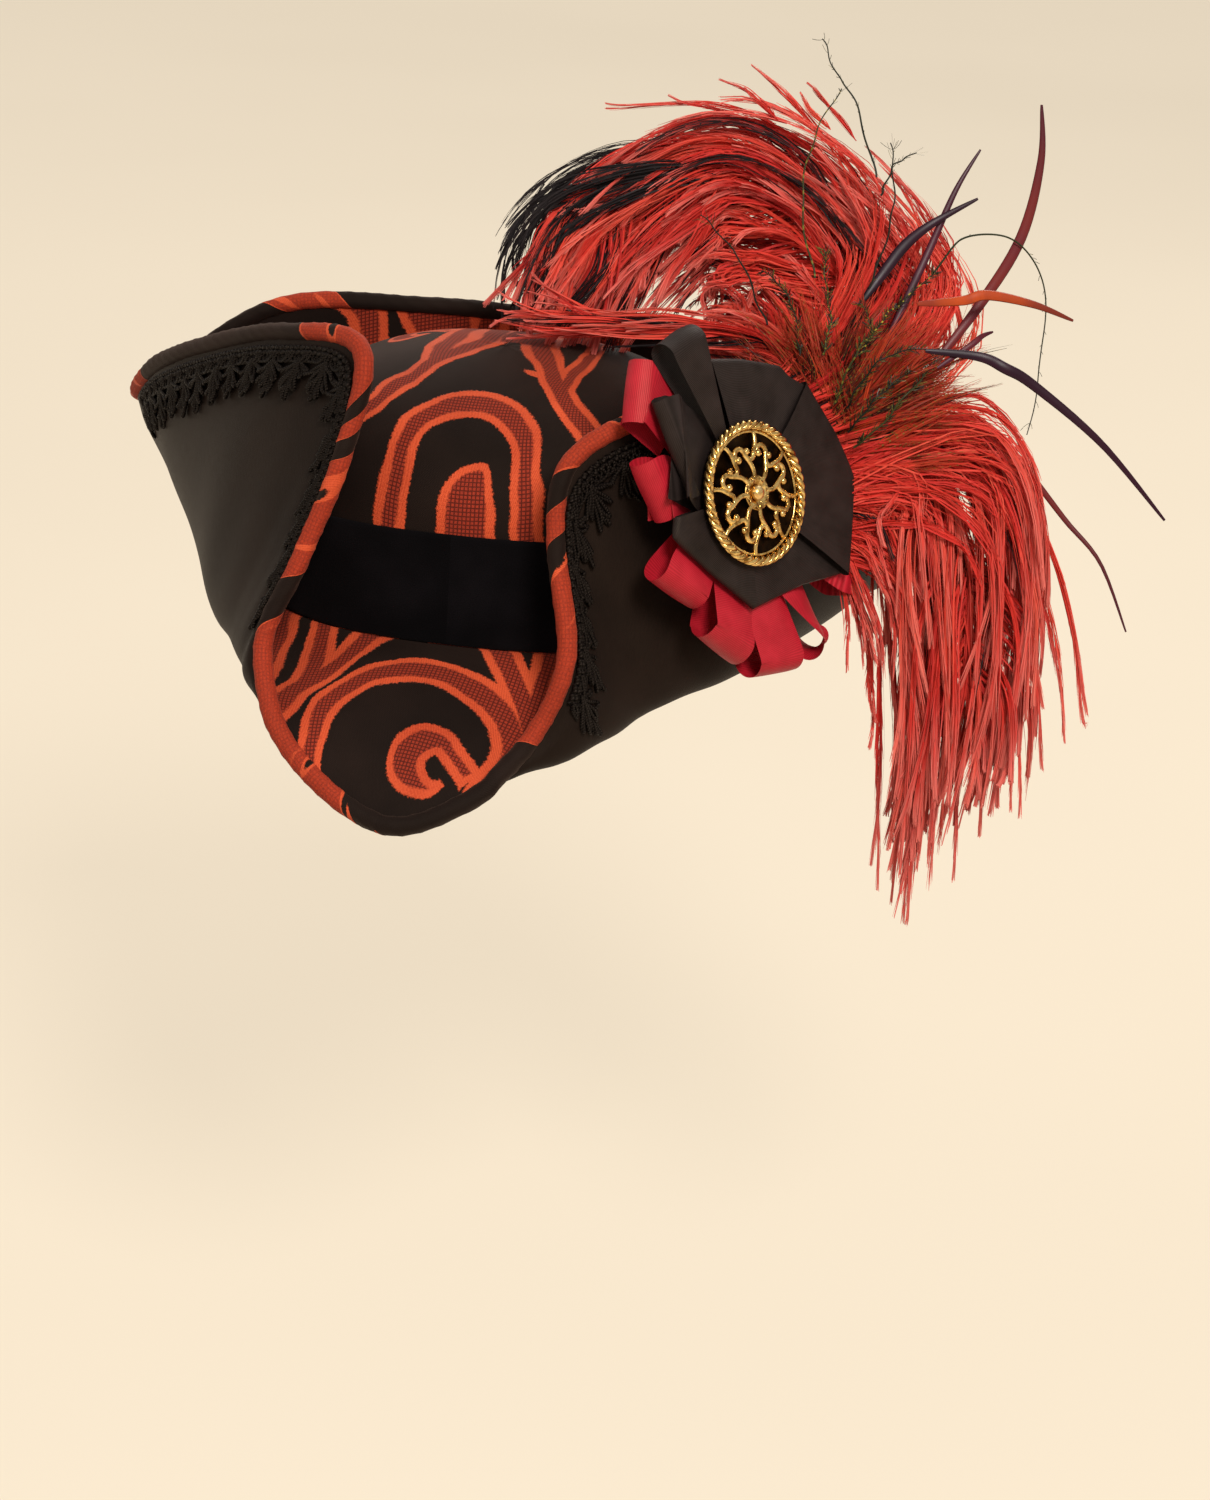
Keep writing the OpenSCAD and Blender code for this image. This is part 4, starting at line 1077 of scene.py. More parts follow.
def add_scroll(pile, bearing, start, reach, shift, curl, turns, size):
    """A stem that sways from one radius to another and ends in a spiral with a ball."""
    out, side = (v[:2] for v in turned(bearing))
    q = np.linspace(0, 1, 26)[:, None]
    stem = out * (start + (reach - start) * q) + side * shift * (ease(q, 0, 1) - np.sin(q * math.pi) * 0.7)
    w = np.linspace(0, turns * TURN, 44)[1:, None]
    fade = 1 - 0.4 * (w / (turns * TURN))
    spiral = (out * math.copysign(1, reach - start) * np.sin(w) - side * np.cos(w)) * curl * fade
    path = np.concatenate([stem, stem[-1] + side * curl + spiral])
    thick = size * (0.8 + 0.2 * np.sin(np.linspace(0, 1, len(path)) * math.pi))
    pile.tube(domed(path), thick, 9, C_FACE)
    add_ball(pile, path[-1], size * 1.3)


def make_rope_rim():
    """Three heavy strands laid together round the dish."""
    strands, lays, radius, high, spread = 3, 16, 20.3, 19.35, 0.8
    pile = Pile()
    a = np.linspace(0, TURN, 640, endpoint=False)
    for strand in range(strands):
        w = a * lays + strand * TURN / strands
        path = lifted(circle(a) * (radius + np.cos(w) * spread)[:, None], high + np.sin(w) * spread)
        pile.tube(cockade(path), 0.76, 10, C_FACE, closed=True)
    dress(pile.object("button_rope_rim", GOLD), "gold", "button_rope")


def make_filigree():
    """Hooks that grow out of the flower and in from the rim, between two rings."""
    arms = 8
    pile = Pile()
    for arm in range(arms):
        add_scroll(pile, arm * 360 / arms + 4, 4.0, 12.0, 1.6, 2.4, 0.64, 0.98)
        add_scroll(pile, arm * 360 / arms + 33, 18.2, 11.4, 1.0, 2.0, 0.6, 0.9)
    ring = circle(np.linspace(0, TURN, 96, endpoint=False))
    for reach, size in ((18.35, 0.5), (4.9, 0.42)):
        pile.tube(domed(ring * reach), size, 8, C_FACE, closed=True)
    dress(pile.object("button_scrolls", GOLD), "gold", "button_filigree")


def make_button():
    """The button: a fluted dish, its rope rim, the filigree, a flower of eight petals and its bead."""
    def fluted(a, r):
        return np.where(r > 19.0, np.abs(np.sin(a * 36)) * 0.22, 0)

    def petals(a, r):
        return np.where(r > 2.6, (np.abs(np.cos(a * 4)) ** 0.7 - 0.6) * 0.9 * (r / 4.6), 0)

    dish = [(0.1, 17.2), (14, 17.2), (18.6, 17.0), (19.4, 16.4), (19.9, 16.6), (20.3, 17.4),
            (20.2, 18.6), (19.0, 18.9), (18.2, 18.4), (17.4, 17.9), (12, 17.75), (0.1, 17.7)]
    flower = [(0.1, 19.2), (2.2, 19.6), (3.4, 20.3), (4.4, 20.75), (4.9, 20.5), (4.5, 20.0),
              (3.0, 19.2), (0.1, 18.8)]
    pearl = [(0.1, 22.1), (0.9, 22.0), (1.7, 21.6), (2.2, 20.9), (2.35, 20.2), (2.0, 19.5), (0.1, 19.2)]
    revolve("button_dish", dish, DARK_GOLD, "dark_gold", "button_plate", dent=fluted)
    make_rope_rim()
    make_filigree()
    revolve("button_flower", flower, GOLD, "gold", "button_filigree", dent=petals)
    revolve("button_pearl", pearl, BRIGHT_GOLD, "gold", "button_bead", steps=40)


def make_cockade():
    make_pad()
    make_loops()
    for order, (name, (corners, top)) in enumerate(BLACK_PANELS.items()):
        make_panel(name, corners, top, order)
    make_button()


# ---- feathers -----------------------------------------------------------------------------------

SPRAY_FACE = unit(np.array([0.193, -0.931, 0.309]))
SPRAY_RIGHT = unit(np.cross(np.array([0, 0, 1.0]), SPRAY_FACE))
SPRAY_UP = np.cross(SPRAY_FACE, SPRAY_RIGHT)
SPRAY = cockade([*54.0 * circle(math.radians(8)), 9.95])
# how far the cockade's panels reach from its middle, and how high barbs may rise under them
PANEL_REACH, PANEL_LOW = 50, 11.5

# Middle line of each plume from its root, with its half breadth and half depth
PLUMES = {
    "upper": [[5, 9.6, 8, 3, 3], [9, 27.5, 25, 27, 9], [-8, 40, 43, 30, 11], [-25, 45.5, 62, 26, 11],
              [-48, 44, 73, 21, 11], [-71, 37, 65, 18, 10], [-89, 29, 52, 15, 9], [-98, 23.6, 36, 9, 6],
              [-102, 21, 27, 4, 4]],
    "black": [[-46, 49, 71, 4, 4], [-62, 59, 71, 6, 4], [-83, 56, 68, 9, 5], [-100, 49, 57.5, 10, 5],
              [-109, 41.5, 40.5, 9, 5], [-111, 36.5, 26.5, 4, 3]],
    "black_lock": [[-40, 45, 66, 3, 3], [-61, 36, 72, 4, 3], [-81, 28, 68, 5, 3], [-97, 25, 59, 6, 3],
                   [-106, 21, 43, 6, 3], [-110, 17, 26, 4, 3]],
    "crown": [[-14, -2, 21, 2, 2], [-28, 6, 28, 6, 4], [-50, 10, 29, 6, 5], [-74, 9, 28, 5, 5],
              [-96, 8, 27, 4, 4], [-112, 7, 26, 2, 2]],
    "lower": [[9, -1, 0, 3, 3], [22, 6, 3, 18, 9], [36, 8, -13, 28, 12], [42, 1, -42, 28, 12],
              [45, -8, -79, 21, 11], [42, -18, -112, 15, 9], [38, -26, -139, 11, 7], [38, -29, -147, 7, 5]],
    "fringe": [[3, -7, -17, 5, 3], [8, -10, -25, 7, 4], [13, -12, -37, 9, 4], [19, -13, -51, 9, 4],
               [22, -16, -66, 7, 4], [23, -18, -75, 4, 3]],
}


def flow(points, t, a, b):
    """Place in a plume: t along its line, a across its breadth and b through its depth."""
    p = spline(points, t)
    ahead = unit(spline(points, t + 0.1)[..., :3] - spline(points, t - 0.1)[..., :3])
    side = unit(np.cross(ahead, SPRAY_FACE))
    deep = np.cross(side, ahead)
    beyond = np.minimum(t, 0) + np.maximum(t - (len(points) - 1), 0)
    middle = p[..., :3] + ahead * (beyond * 14.0)[..., None]
    return SPRAY + middle + side * (a * p[..., 3])[..., None] + deep * (b * p[..., 4])[..., None]


def under_panels(path):
    """Keeps barbs below the edges of the cockade's panels, free to rise outside them."""
    p = path - COCKADE
    limit = PANEL_LOW + np.maximum(np.hypot(p @ C_RIGHT, p @ C_UP) - PANEL_REACH, 0) * 2
    return path - C_FACE * np.maximum(p @ C_FACE - limit, 0)[..., None]


def plume(points, locks, fibres, seed, pile=None, start=(0.0, 0.8), early=0.0, reach=(2.0, 3.2), end=0.0,
          short=0.0, outer=(-1, 1), spread=1.0, inner=1.0, dark=0.0, bend=3.0, droop=4.0, hang=0.0, lift=0.0,
          open_root=0.35, tuck=None, cut=0.7, lock_width=3.4, width=0.24, flues=44, steps=12):
    """Soft barbs that leave the quill and sweep along the plume to ragged tips.

    Each lock is a few long fibres, with short flues that stand off along its whole length.
    start, early, reach, end, short: where along the quill locks leave it, and how far on they end.
    outer, spread, inner: the sides they keep to and how far out they lie.
    dark, bend, droop, hang, lift: the share that is dark, and how they stray, sag and rise.
    open_root, tuck: how wide the roots stand, and the line behind the cockade that the first come from.
    cut, lock_width, width, flues, steps: a lock's shortest fibre, its size, and how many flues it has.
    """
    r = np.random.default_rng(seed)
    pile = pile or Pile()
    last = len(points) - 1
    spring = 3.4  # how soon a barb spreads from the quill
    first = np.where(r.random(locks) < early, r.uniform(-0.25, 0.9, locks), r.uniform(*start, locks) * last)
    length = r.uniform(*reach, locks)
    out = r.uniform(*outer, locks)
    out = np.sign(out) * np.abs(out) ** 0.7 * spread
    final = last + end - r.random(locks) ** 1.5 * 1.1 - np.maximum(-out, 0) * short
    final = np.maximum(np.minimum(first + length, final), first + 0.9)
    out = np.where(out < 0, out * inner, out)
    deep = r.uniform(-1, 1, locks) * spread
    is_dark, dark_shade = r.random(locks) < dark, r.uniform(0.9, 0.98, locks)
    shade = np.where(is_dark, dark_shade, 0.04 + r.beta(1.8, 2.2, locks) * 0.66)
    bow = r.normal(0, 1, (locks, 3)) * bend
    sag = droop * (0.3 + r.random(locks) * 1.1) + hang * np.maximum(-out, 0)
    swing = r.uniform(0, TURN, (locks, 3))
    if tuck is not None:
        low, high = np.array(tuck, float)
        tucked = cockade(low + (high - low) * r.random((locks, 1)) + r.normal(0, 0.8, (locks, 3)))

    def along(own, q, stray):
        """Places on the locks numbered own, q of the way from root to tip."""
        t = first[own][:, None] + stray * (1 - q) + (final - first)[own][:, None] * q
        near = ease(first[own], 0.0, 1.2)[:, None]
        root = open_root * (1 - near) + 0.06 * near
        grow = root + (1 - root) * (1 - np.exp(-spring * q)) / (1 - math.exp(-spring))
        path = flow(points, t, out[own][:, None] * grow, deep[own][:, None] * grow)
        if tuck is not None:
            hold = ((1 - ease(q, 0.0, 0.55)) * (1 - ease(first[own], 0.8, 1.25))[:, None])[..., None]
            path = path * (1 - hold) + tucked[own][:, None] * hold
        far = q[..., None]
        path = path + (np.sin(far * 5 + swing[own][:, None]) * 0.9 + bow[own][:, None] * far) * far
        path[..., 2] -= sag[own][:, None] * q**2.4 - lift * q**1.5
        return under_panels(path)

    def tone(own, stray):
        return np.clip(shade[own] + r.normal(0, stray, len(own)), 0.0, 0.99)

    own = np.repeat(np.arange(locks), fibres)
    count = len(own)
    q = np.linspace(0, 1, steps)[None, :]
    far = q * r.uniform(cut, 1.0, (count, 1)) ** 0.7
    path = along(own, far, r.normal(0, 0.10, (count, 1)))
    # each fibre keeps its own place in the lock, widest a third of the way along
    fan = lock_width * (np.sqrt(far + 0.02) * np.clip(1.02 - far, 0, 1) ** 0.75 * 1.6 + 0.10)
    path = path + r.normal(0, 0.4, (count, 3))[:, None] * fan[..., None]
    radius = width * r.uniform(0.65, 1.3, (count, 1)) * (1 - q**2.5 * 0.8)
    tones = tone(own, 0.07)
    pile.strips(path, radius, tones, unit(r.normal(size=(count, 3)) + SPRAY_FACE * 0.7), far)

    own = np.repeat(np.arange(locks), flues)
    count = len(own)
    q = np.linspace(0, 1, 4)[None, :]
    foot = r.uniform(0.0, 0.96, (count, 1))
    far = np.minimum(foot + r.uniform(0.25, 0.6, (count, 1)) * q / (final - first)[own][:, None], 1.04)
    fan = lock_width * 0.8 * (np.sqrt(far + 0.04) * np.clip(1.15 - far, 0, 1) ** 0.4)
    away = unit(r.normal(size=(count, 3))) * r.uniform(0.35, 1.0, (count, 1))
    path = along(own, far, 0.0) + away[:, None] * (fan * (0.22 + 0.78 * q**1.2))[..., None]
    radius = width * r.uniform(0.55, 1.1, (count, 1)) * (1 - q**2 * 0.8)
    tones = tone(own, 0.05)
    pile.strips(path, radius, tones, unit(SPRAY_FACE + r.normal(0, 0.6, (count, 3))), far * 0.7 + q * 0.3)
    return pile


# Single barbs that stand clear of the upper plume, from root to tip
UPPER_WISPS = [
    [(-34, 49, 88), (-56, 45, 93), (-86, 38, 90)], [(-18, 47, 85), (-34, 47, 100), (-52, 47, 108)],
    [(-45, 45, 90), (-58, 43, 93), (-70, 41, 96)], [(-16, 46, 88), (-26, 46, 97), (-37, 46, 103)],
    [(-33, 41, 91), (-43, 41, 99), (-53, 40, 102)], [(-8, 45, 86), (-19, 46, 98), (-31, 45, 106)],
]
# Those of the lower plume: how far from its outer side (0) to its inner side (1), and how far it hangs
LOWER_WISPS = [
    (0.0, 1.0), (0.09, 1.0), (0.18, 1.0), (0.3, 1.0), (0.46, 1.0), (0.58, 1.05), (0.82, 1.05), (1.0, 1.0),
    (0.92, 0.75), (0.62, 0.8), (1.1, 0.4),
]


def hanging_wisp(inward, hang):
    """Path of one barb that leaves the lower plume's edge, swings out and hangs."""
    low = math.sin(min(inward, 1) * math.pi / 2)
    root = np.array([59 - 42 * inward, 11 - 14 * inward, -16 - 44 * low])
    fall = np.array([24 - 17 * inward, -16 - 11 * inward, -64 - 21 * low]) * [1, hang, hang]
    u = np.linspace(0, 1, 4)
    return root + fall * np.stack([u * (1.6 - 0.6 * u), u, u], -1)


def wisps(paths, pile, seed, thick, **how):
    """Adds thin barbs of their own along these paths."""
    for index, path in enumerate(paths):
        line = [[*p, thick, thick] for p in path]
        last = len(line) - 1
        plume(line, 2, 4, seed + index, pile, start=(0.0, 0.03), reach=(last, last), spread=0.6, droop=0,
              bend=0.7, steps=14, **how)


def make_upper_plume():
    """A dense outer fall, a fuller inner one, wisps that stand clear, and thin locks at the tip."""
    line = PLUMES["upper"]
    red = plume(line, 270, 5, 11, start=(0.06, 0.86), early=0.42, reach=(1.9, 3.4), end=-0.35, spread=1.1,
                inner=1.42, dark=0.07, bend=4.0, droop=7, hang=13, tuck=((2, 22, 1), (27, 5, 3)), cut=0.5,
                lock_width=4.2, width=0.3, flues=50)
    plume(line, 115, 5, 23, red, start=(0.1, 0.74), reach=(1.2, 2.3), end=-0.5, outer=(-1, 0.15), inner=1.3,
          dark=0.1, bend=4.0, droop=5, hang=8, cut=0.6, lock_width=4.8, width=0.32, flues=50)
    wisps(UPPER_WISPS, red, 40, 0.8, flues=50, lock_width=1.8, width=0.16)
    plume(line, 12, 3, 17, red, start=(0.68, 0.86), reach=(1.0, 1.8), spread=1.15, dark=0.3, bend=4,
          lock_width=2.4, width=0.2, flues=26)
    dress(red.feathers("plume_upper_barbs", RED_BARB), "red_ostrich", "plume_upper")


def make_black_plume():
    """Coarse black barbs round the upper plume's end, and a lock that crosses in front of it."""
    black = plume(PLUMES["black"], 80, 4, 12, start=(0.0, 0.7), early=0.5, reach=(1.8, 3.2), end=-0.3,
                  spread=1.05, droop=7, open_root=0.6, cut=0.5, lock_width=2.2, width=0.2, flues=22)
    plume(PLUMES["black_lock"], 20, 6, 18, black, start=(0.0, 0.6), early=0.6, reach=(2.2, 3.6), spread=1.2,
          bend=2.5, droop=5, open_root=0.6, cut=0.5, lock_width=2.6, width=0.22, flues=40)
    dress(black.feathers("plume_black_barbs", BLACK_BARB), "black_ostrich", "plume_black")


def make_crown_plume():
    """Short barbs that lie along the top of the crown, a few of them lifted."""
    crown = plume(PLUMES["crown"], 50, 5, 13, start=(0.0, 0.75), early=0.3, reach=(1.4, 2.4), spread=1.1,
                  dark=0.16, bend=1.2, droop=0.5, open_root=0.5, lock_width=1.6, width=0.22, flues=34)
    plume(PLUMES["crown"], 6, 4, 19, crown, start=(0.45, 0.8), reach=(1.0, 1.6), bend=2.0, droop=0, lift=9,
          lock_width=1.2, width=0.2, flues=20)
    dress(crown.feathers("plume_crown_barbs", RED_BARB), "red_ostrich", "plume_crown")


def make_lower_plume():
    """The fall behind the cockade, a fringe along its edge, a few dark locks, and wisps."""
    low = plume(PLUMES["lower"], 220, 5, 14, start=(0.05, 0.55), early=0.5, reach=(1.9, 4.3), end=-1.5,
                short=1.7, inner=0.96, bend=4.5, droop=6, open_root=0.95, tuck=((28, 5, 3), (20, -27, 1)),
                cut=0.5, lock_width=3.6, width=0.28, flues=80)
    plume(PLUMES["fringe"], 44, 5, 24, low, start=(0.0, 0.3), early=0.6, reach=(1.6, 3.6), dark=0.04,
          bend=2.0, droop=2, open_root=0.95, tuck=((32, -8, 2), (24, -29, 2)), cut=0.6, lock_width=3.0,
          width=0.26, flues=60)
    plume(PLUMES["lower"], 7, 5, 27, low, start=(0.15, 0.45), reach=(1.4, 2.6), spread=0.7, dark=1.0,
          bend=5.0, droop=6, lock_width=2.6, width=0.2, flues=8)
    paths = [hanging_wisp(inward, hang) for inward, hang in LOWER_WISPS]
    wisps(paths, low, 70, 1.3, flues=120, lock_width=2.6, width=0.19, cut=0.8)
    dress(low.feathers("plume_lower_barbs", RED_BARB), "red_ostrich", "plume_lower")


def screen(right, up, near=0.0):
    """A direction by how far it goes right, up and towards the front of the spray."""
    right, up, near = np.broadcast_arrays(right, up, near)
    return right[..., None] * SPRAY_RIGHT + up[..., None] * SPRAY_UP + near[..., None] * SPRAY_FACE


def make_hackles():
    """Soft hackles that fan up from behind the cockade in small tapering tufts."""
    r = np.random.default_rng(21)
    tufts, fibres, steps = 300, 15, 12

    def some(low, high):
        return r.uniform(low, high, tufts)

    lean = np.radians(some(-50, 74))
    length = some(24, 57) * (1 - 0.12 * np.abs(lean))
    head = unit(screen(np.sin(lean), np.cos(lean), some(-0.3, 0.42)))
    base = SPRAY + screen(some(-9, 5), some(-12, 10), some(-4, 6))
    curl = screen(np.sign(lean) * some(0.0, 0.5), -some(0.05, 0.4), r.normal(0, 0.16, tufts))
    tone = np.where(r.random(tufts) < 0.16, some(0.8, 0.97), some(0.0, 0.74))
    own = np.repeat(np.arange(tufts), fibres)
    count = len(own)
    q = np.linspace(0, 1, steps)[None, :]
    qq = q * r.uniform(0.35, 1.0, (count, 1)) ** 0.6
    far = (length[own][:, None] * qq)[..., None]
    path = base[own][:, None] + head[own][:, None] * far
    path = path + curl[own][:, None] * (far * (qq**1.2)[..., None] * 0.55)
    fan = 3.6 * (np.sqrt(qq + 0.01) * np.clip(1.04 - qq, 0, 1) ** 0.7) + 0.2
    path = path + r.normal(0, 0.5, (count, 1, 3)) * fan[..., None]
    waver = np.sin(qq[..., None] * r.uniform(3, 9, (count, 1, 1)) + r.uniform(0, TURN, (count, 1, 3)))
    path = under_panels(path + waver * (qq**0.8)[..., None] * 0.6)
    tones = np.clip(tone[own] + r.normal(0, 0.09, count), 0, 0.99)
    radius = 0.25 * r.uniform(0.6, 1.3, (count, 1)) * (1 - q**2.2 * 0.85)
    pile = Pile()
    pile.strips(path, radius, tones, unit(SPRAY_FACE + r.normal(0, 0.7, (count, 3))))
    dress(pile.feathers("hackle_feathers", HACKLE_BARB), "hackle", "hackle_pad")


# Curled, stripped barbs: breadth, tone, and points from the root of the spray
BIOTS = [
    (1.9, 0.30, [(22, 4, 20), (37, 19, 42), (47, 36, 61), (50, 53, 82), (48, 64, 98)]),
    (1.3, 0.62, [(8, 6, 24), (14, 14, 40), (20, 23, 57), (26, 31, 75), (32, 38, 87)]),
    (1.9, 0.85, [(2, 10, 42), (7, 15, 50), (13, 20, 59), (21, 24, 66), (33, 31, 73)]),
    (1.8, 0.05, [(20, -3, 46), (33, 5, 46.5), (40, 9, 48), (54, 15, 45), (66, 20, 40)]),
    (1.0, 0.45, [(28, -8, 28), (37, -2, 34.5), (40, 1, 37), (43, 4, 38)]),
    (1.9, 0.80, [(24, -8, 33), (40, -4, 31.8), (48, -4, 29), (57, -2, 24), (79, 1, 7), (100, 5, -16)]),
    (1.1, 0.30, [(16, 4, 3), (35, 14, 7), (50, 16, -1), (59, 15, -10), (70, 14, -22), (82, 12, -34),
                 (92, 8, -54)]),
]
# Fine peacock herls, in the same frame
HERLS = [
    [(1, 34, 76), (-8, 45, 96), (-16, 49, 106), (-21, 53, 115)],
    [(-13, 9, 48), (-20, 21, 69), (-19, 34, 88), (-13, 46, 101)],
    [(3, 31, 71), (6, 38, 80), (12, 45, 83)],
    [(23, 9, 53), (30, 22, 62), (42, 31, 62), (53, 33, 53), (57, 29, 38), (57, 20, 19), (56, 11, 5)],
    [(-24, -12, 37), (-36, 2, 54), (-50, 13, 64)],
    [(5, -3, 49), (8, 22, 68), (4, 42, 86)],
]
# Fuller herls that lie over the hackles
FRONT_HERLS = [
    [(2, -10, 13), (5, -11, 21), (11, -10, 29), (18, -5, 32), (27, 5, 30)],
    [(3, -12, 6), (8, -13, 14), (14, -9, 21), (20, -2, 25)],
    [(5, -11, 1), (14, -10, 11), (23, -3, 23), (28, 6, 27)],
    [(-7, -7, 28), (-6, -2, 38), (-9, 5, 48), (-11, 12, 57)],
    [(-14, -7, 27), (-17, 0, 37), (-22, 8, 44), (-30, 14, 48)],
    [(4, -7, 29), (9, 4, 38), (14, 11, 43), (23, 22, 51)],
    [(-2, -10, 14), (3, -9, 30), (7, -2, 36), (2, 4, 43)],
]


def make_biots():
    """Curled blades, widest in the middle and drawn out to a point."""
    pile = Pile()
    q = np.linspace(0, 1, 33)
    for width, tone, points in BIOTS:
        radius = width * np.sin(np.pi * (0.04 + 0.90 * q) ** 0.9) ** 0.8 * (1 - 0.35 * q) + 0.10
        pile.tube(SPRAY + smooth_path(points, len(q)), radius, 8, SPRAY_FACE, flat=0.22, tone=tone)
    dress(pile.feathers("curled_biot_blades", BIOT_FINISH), "biot", "curled_biots")


def add_herl(pile, r, points, hairs, reach, wide, splay):
    """A thin stem with so many short hairs, which stand further off towards its tip by the splay."""
    q = np.linspace(0, 1, 61)
    path = SPRAY + smooth_path(points, len(q))
    path = path + np.stack([np.sin(q * 23), np.cos(q * 19), np.sin(q * 15 + 1)], -1) * 0.35
    pile.tube(path, 0.34 - 0.16 * q, 6, tone=r.integers(0, 40) / SHADES)
    ahead = unit(np.gradient(path, axis=0))
    pick = r.integers(3, len(q) - 1, hairs)
    ahead = ahead[pick][:, None]
    side = unit(np.cross(ahead, r.normal(size=(hairs, 1, 3))))
    size = reach * r.uniform(0.6, 1.4, hairs)
    size = size + (pick > 48) * splay * r.uniform(0, 2.5, hairs)
    u = np.linspace(0, 1, 4)[:, None]
    hair = path[pick][:, None] + (side * u + ahead * (0.4 * u + 0.8 * u**2)) * size[:, None, None]
    tones = r.integers(0, 60, hairs) / SHADES
    pile.strips(hair, np.full((hairs, len(u)), wide), tones, -unit(np.cross(ahead, side))[:, 0])


def make_herls():
    """Bare herls that stand clear, with longer hairs at their tips, and fuller ones in front."""
    pile = Pile()
    r = np.random.default_rng(31)
    for points in HERLS:
        add_herl(pile, r, points, 30, 0.9, 0.08, 1)
    for points in FRONT_HERLS:
        add_herl(pile, r, points, 150, 1.5, 0.13, 0)
    dress(pile.feathers("herl_strands", HERL_FINISH), "herl", "peacock_herls")


# ---- finishes -----------------------------------------------------------------------------------

BINDING_AT = np.linspace(0, ROWS, 900)
BINDING_RUN = run_length(brim_point(BINDING_AT, 1.0))
BINDING_LENGTH = float(BINDING_RUN[-1])
# Stretches of the binding by the rows they cover: more black above 0, more orange below
BLACK_ROWS = [
    (0.3, 5.6, 26.0), (28.0, 40.8, 26.0), (42.4, 44.6, 26.0), (47.6, 54.8, 26.0), (64.2, 65.4, 26.0),
    (11.3, 11.7, 26.0), (13.0, 13.5, 26.0), (59.0, 59.3, 26.0), (60.2, 60.5, 26.0),
    (6.2, 11.2, -4.0), (55.4, 58.8, -4.5), (60.8, 63.6, -4.5), (66.6, 71.6, -4.0),
]
BINDING_BLACKS = [
    (*np.interp((first, last), BINDING_AT, BINDING_RUN).tolist(), depth) for first, last, depth in BLACK_ROWS
]

BROCADE_CLOTH = make_brocade()
BINDING_CLOTH = make_binding_cloth()
TAFFETA_CLOTH = make_taffeta()
LINING_CLOTH = make_taffeta()
VELVET = make_velvet()
BLACK_RIBBON = make_grosgrain("black_ribbon", (17, 13, 12), (50, 41, 39), 0.5, 0.06, specular=0.2, sheen=0.05)
SWEAT_RIBBON = make_grosgrain("sweat_ribbon", (10, 9, 9), (36, 33, 32), 1.1, 0.12, specular=0.2)
RED_RIBBON = make_grosgrain("red_ribbon", (164, 18, 34), (206, 36, 54), 0.55, 0.06)
RED_RIBBED = make_grosgrain("red_ribbed_ribbon", (150, 14, 28), (212, 38, 56), 1.9, 0.35)
FELT = make_plain("felt", (14, 13, 14), (34, 32, 33), 0.4, 0.95, 0.3)
GIMP_CORD = make_cord("gimp_cord", (5, 4, 4), (24, 19, 18), 0.9)
GOLD = make_gold("gold", (150, 104, 44), (246, 206, 128), 0.17)
BRIGHT_GOLD = make_gold("bright_gold", (232, 180, 104), (255, 232, 176), 0.3)
DARK_GOLD = make_gold("dark_gold", (16, 10, 6), (42, 26, 12), 0.5)
BUCKRAM_FINISH = make_buckram()
WIRE_FINISH = make_plain("wire", (120, 120, 124), (176, 176, 180), 0.2, 0.35, 0.02, 1.0)
COMB_FINISH = make_plain("comb", (16, 12, 10), (38, 26, 20), 0.08, 0.28, 0.02, specular=0.55)
QUILL_FINISH = make_plain("quill", (120, 34, 28), (168, 70, 56), 0.3, 0.4, 0.05)
THREAD_FINISH = make_plain("thread", (12, 11, 11), (40, 36, 36), 0.8, 0.7, 0.1)
RED_BARB = make_strand("red_barb", {
    0.0: (236, 92, 70), 0.25: (224, 62, 48), 0.5: (206, 44, 37), 0.74: (166, 30, 27), 0.86: (84, 18, 18),
    0.92: (22, 14, 15),
}, (232, 128, 114))
BLACK_BARB = make_strand("black_barb", {
    0.0: (44, 36, 36), 0.5: (26, 21, 22), 1.0: (12, 10, 11),
}, (52, 44, 44))
HACKLE_BARB = make_strand("hackle_barb", {
    0.0: (206, 70, 38), 0.3: (170, 46, 26), 0.55: (122, 32, 20), 0.72: (78, 36, 22), 0.82: (30, 20, 16),
    1.0: (14, 12, 11),
}, (186, 66, 42), glint=(128, 98, 44), roughness=0.45)
BIOT_FINISH = make_strand("biot", {
    0.0: (196, 78, 30), 0.25: (120, 40, 34), 0.5: (84, 26, 42), 0.8: (44, 16, 32), 1.0: (24, 12, 22),
}, (56, 20, 34), roughness=0.35)
HERL_FINISH = make_strand("herl", {
    0.0: (58, 62, 30), 0.4: (30, 34, 24), 1.0: (16, 16, 15),
}, (44, 44, 34), glint=(176, 158, 58), roughness=0.35)

# Nodes that are left as they are in the solid model
FINISHES = {
    "crown_shell": BUCKRAM_FINISH, "brim_base": BUCKRAM_FINISH, "brim_wire": WIRE_FINISH,
    "button_shank": DARK_GOLD, "feather_wrap": THREAD_FINISH, "plume_upper_quill": QUILL_FINISH,
    "plume_lower_quill": QUILL_FINISH, "hair_comb": COMB_FINISH,
}


def finish_nodes():
    """Gives each of those nodes its finish."""
    for node, finish in FINISHES.items():
        materials = bpy.data.objects[node].data.materials
        materials.clear()
        materials.append(finish)


# ---- stage and light ----------------------------------------------------------------------------


FLOOR_GLOW = 0.62
HAT_MIDDLE = (0.02, -0.02, 0.04)


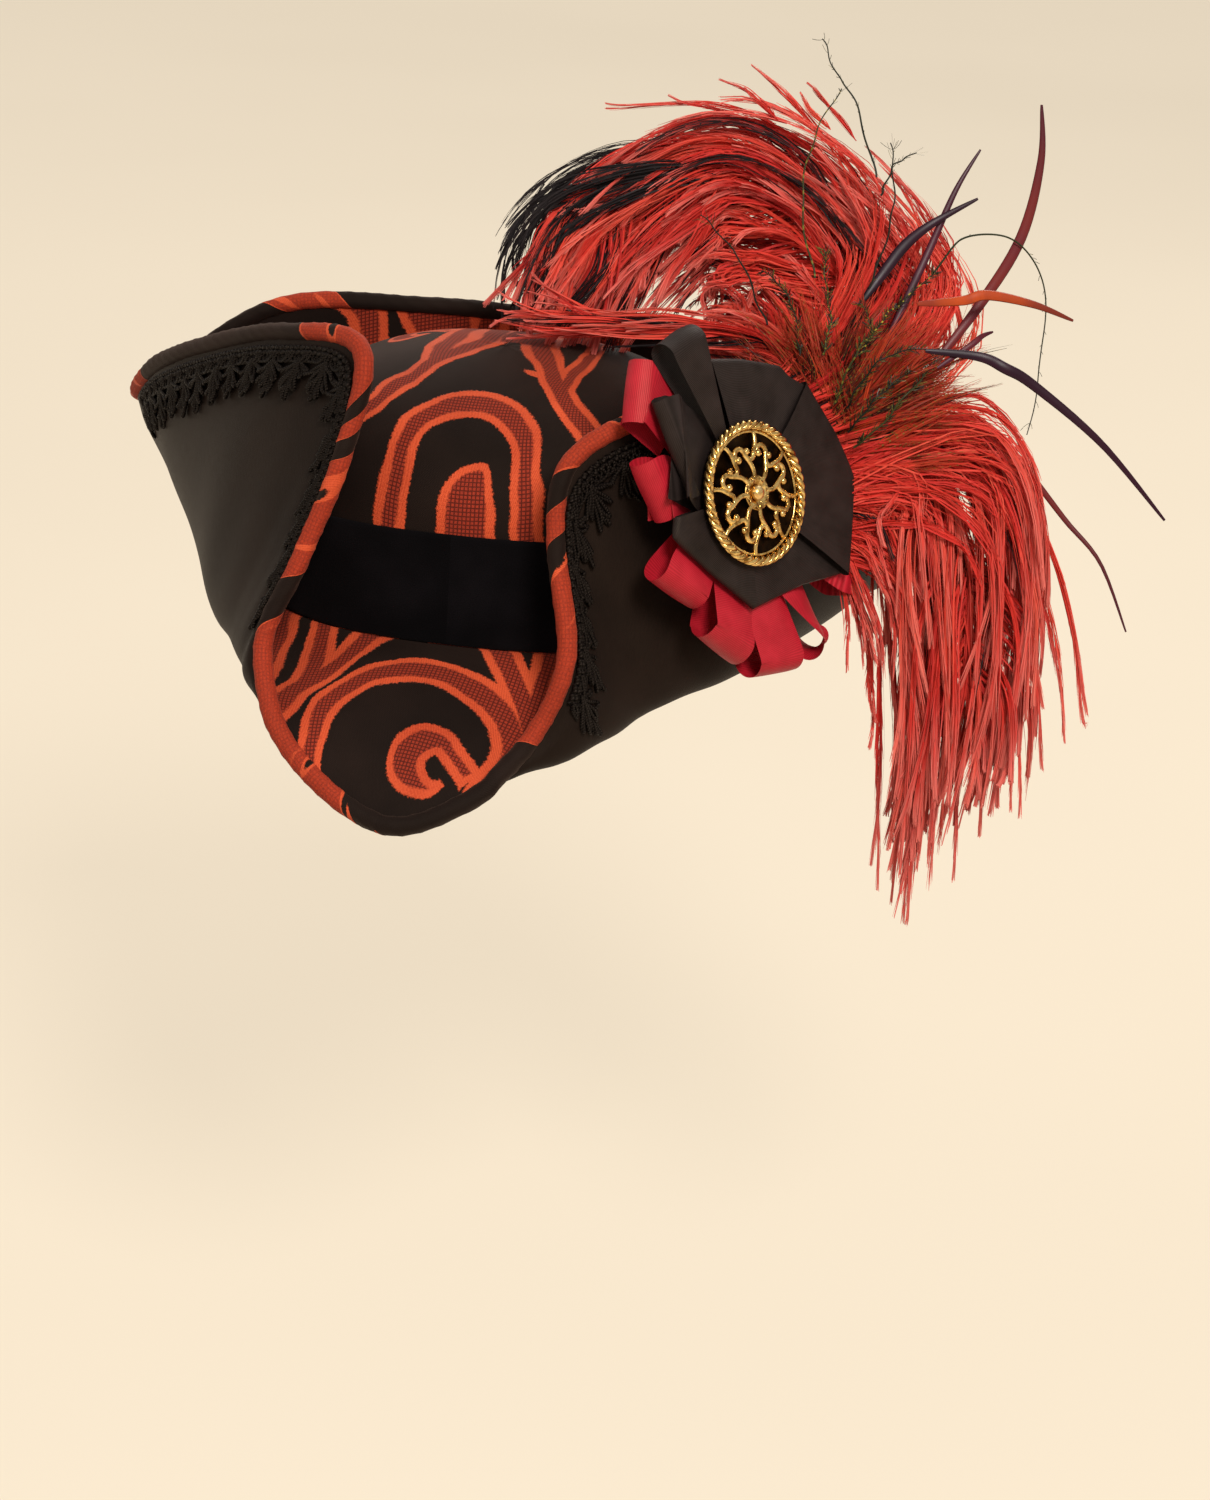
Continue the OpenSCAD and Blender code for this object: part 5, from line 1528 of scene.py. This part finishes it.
def make_stage():
    """A round floor below the hat, which the camera and mirrors see in its own pale colour."""
    low, reach, sides = -0.30, 7.0, 64
    mesh = bpy.data.meshes.new("floor")
    ring = lifted(circle(np.arange(sides) * TURN / sides) * reach, low)
    mesh.from_pydata(ring.tolist(), [], [tuple(range(sides))])
    f = Finish("floor", 0.9, 0.1)
    x, y, _ = f.object_xyz()
    soft = f.noise(f.join(x, y, 0.0), 1.5)
    f.wear(f.mix(soft.step(0.3, 0.7), (158, 148, 133), (163, 153, 138)))
    rays = f.node("LightPath", {}).outputs
    camera, mirror, glass = (Value(f.tree, rays[f"Is {k} Ray"]) for k in ("Camera", "Glossy", "Transmission"))
    glow = camera.most(mirror).most(glass) * FLOOR_GLOW
    feed(f.tree, f.shader, {"Emission Color": (250, 234, 208), "Emission Strength": glow})
    mesh.materials.append(f.material)
    add_object("floor", mesh)


def make_lamp(name, place, size, power, colour):
    """A round lamp that points at the hat's middle."""
    data = bpy.data.lights.new(name, "AREA")
    data.shape, data.size, data.energy, data.color = "DISK", size, power, colour
    lamp = add_object(name, data)
    lamp.location = place
    lamp.rotation_euler = (Vector(HAT_MIDDLE) - Vector(place)).to_track_quat("-Z", "Y").to_euler()


def make_light():
    """A pale room, a key light over the camera's right shoulder, a weak fill and a light behind."""
    world = bpy.data.worlds.new("studio")
    bpy.context.scene.world = world
    world.use_nodes = True
    back = world.node_tree.nodes["Background"]
    back.inputs["Color"].default_value = (1.0, 0.965, 0.91, 1)
    back.inputs["Strength"].default_value = 0.5
    make_lamp("key", (0.75, -1.45, 1.35), 0.6, 30, (1.0, 0.97, 0.92))
    make_lamp("fill", (-1.4, -1.1, 0.9), 1.0, 3, (1.0, 0.98, 0.95))
    make_lamp("back", (0.4, 1.5, 1.3), 0.9, 12, (1.0, 0.97, 0.93))
    bpy.context.scene.view_settings.view_transform = "Standard"


# ---- making -------------------------------------------------------------------------------------

make_stage()
make_light()
make_crown_cover()
make_velvet_band()
make_lining()
make_sweatband()
make_brim_cover()
make_brim_buckram()
make_brim_taffeta()
make_binding()
make_gimp("gimp_left_flap", 8, 25)
make_gimp("gimp_rear_flap", 29, 43)
make_gimp("gimp_right_flap", 47, 64)
make_cockade()
make_upper_plume()
make_black_plume()
make_crown_plume()
make_lower_plume()
make_hackles()
make_biots()
make_herls()
finish_nodes()
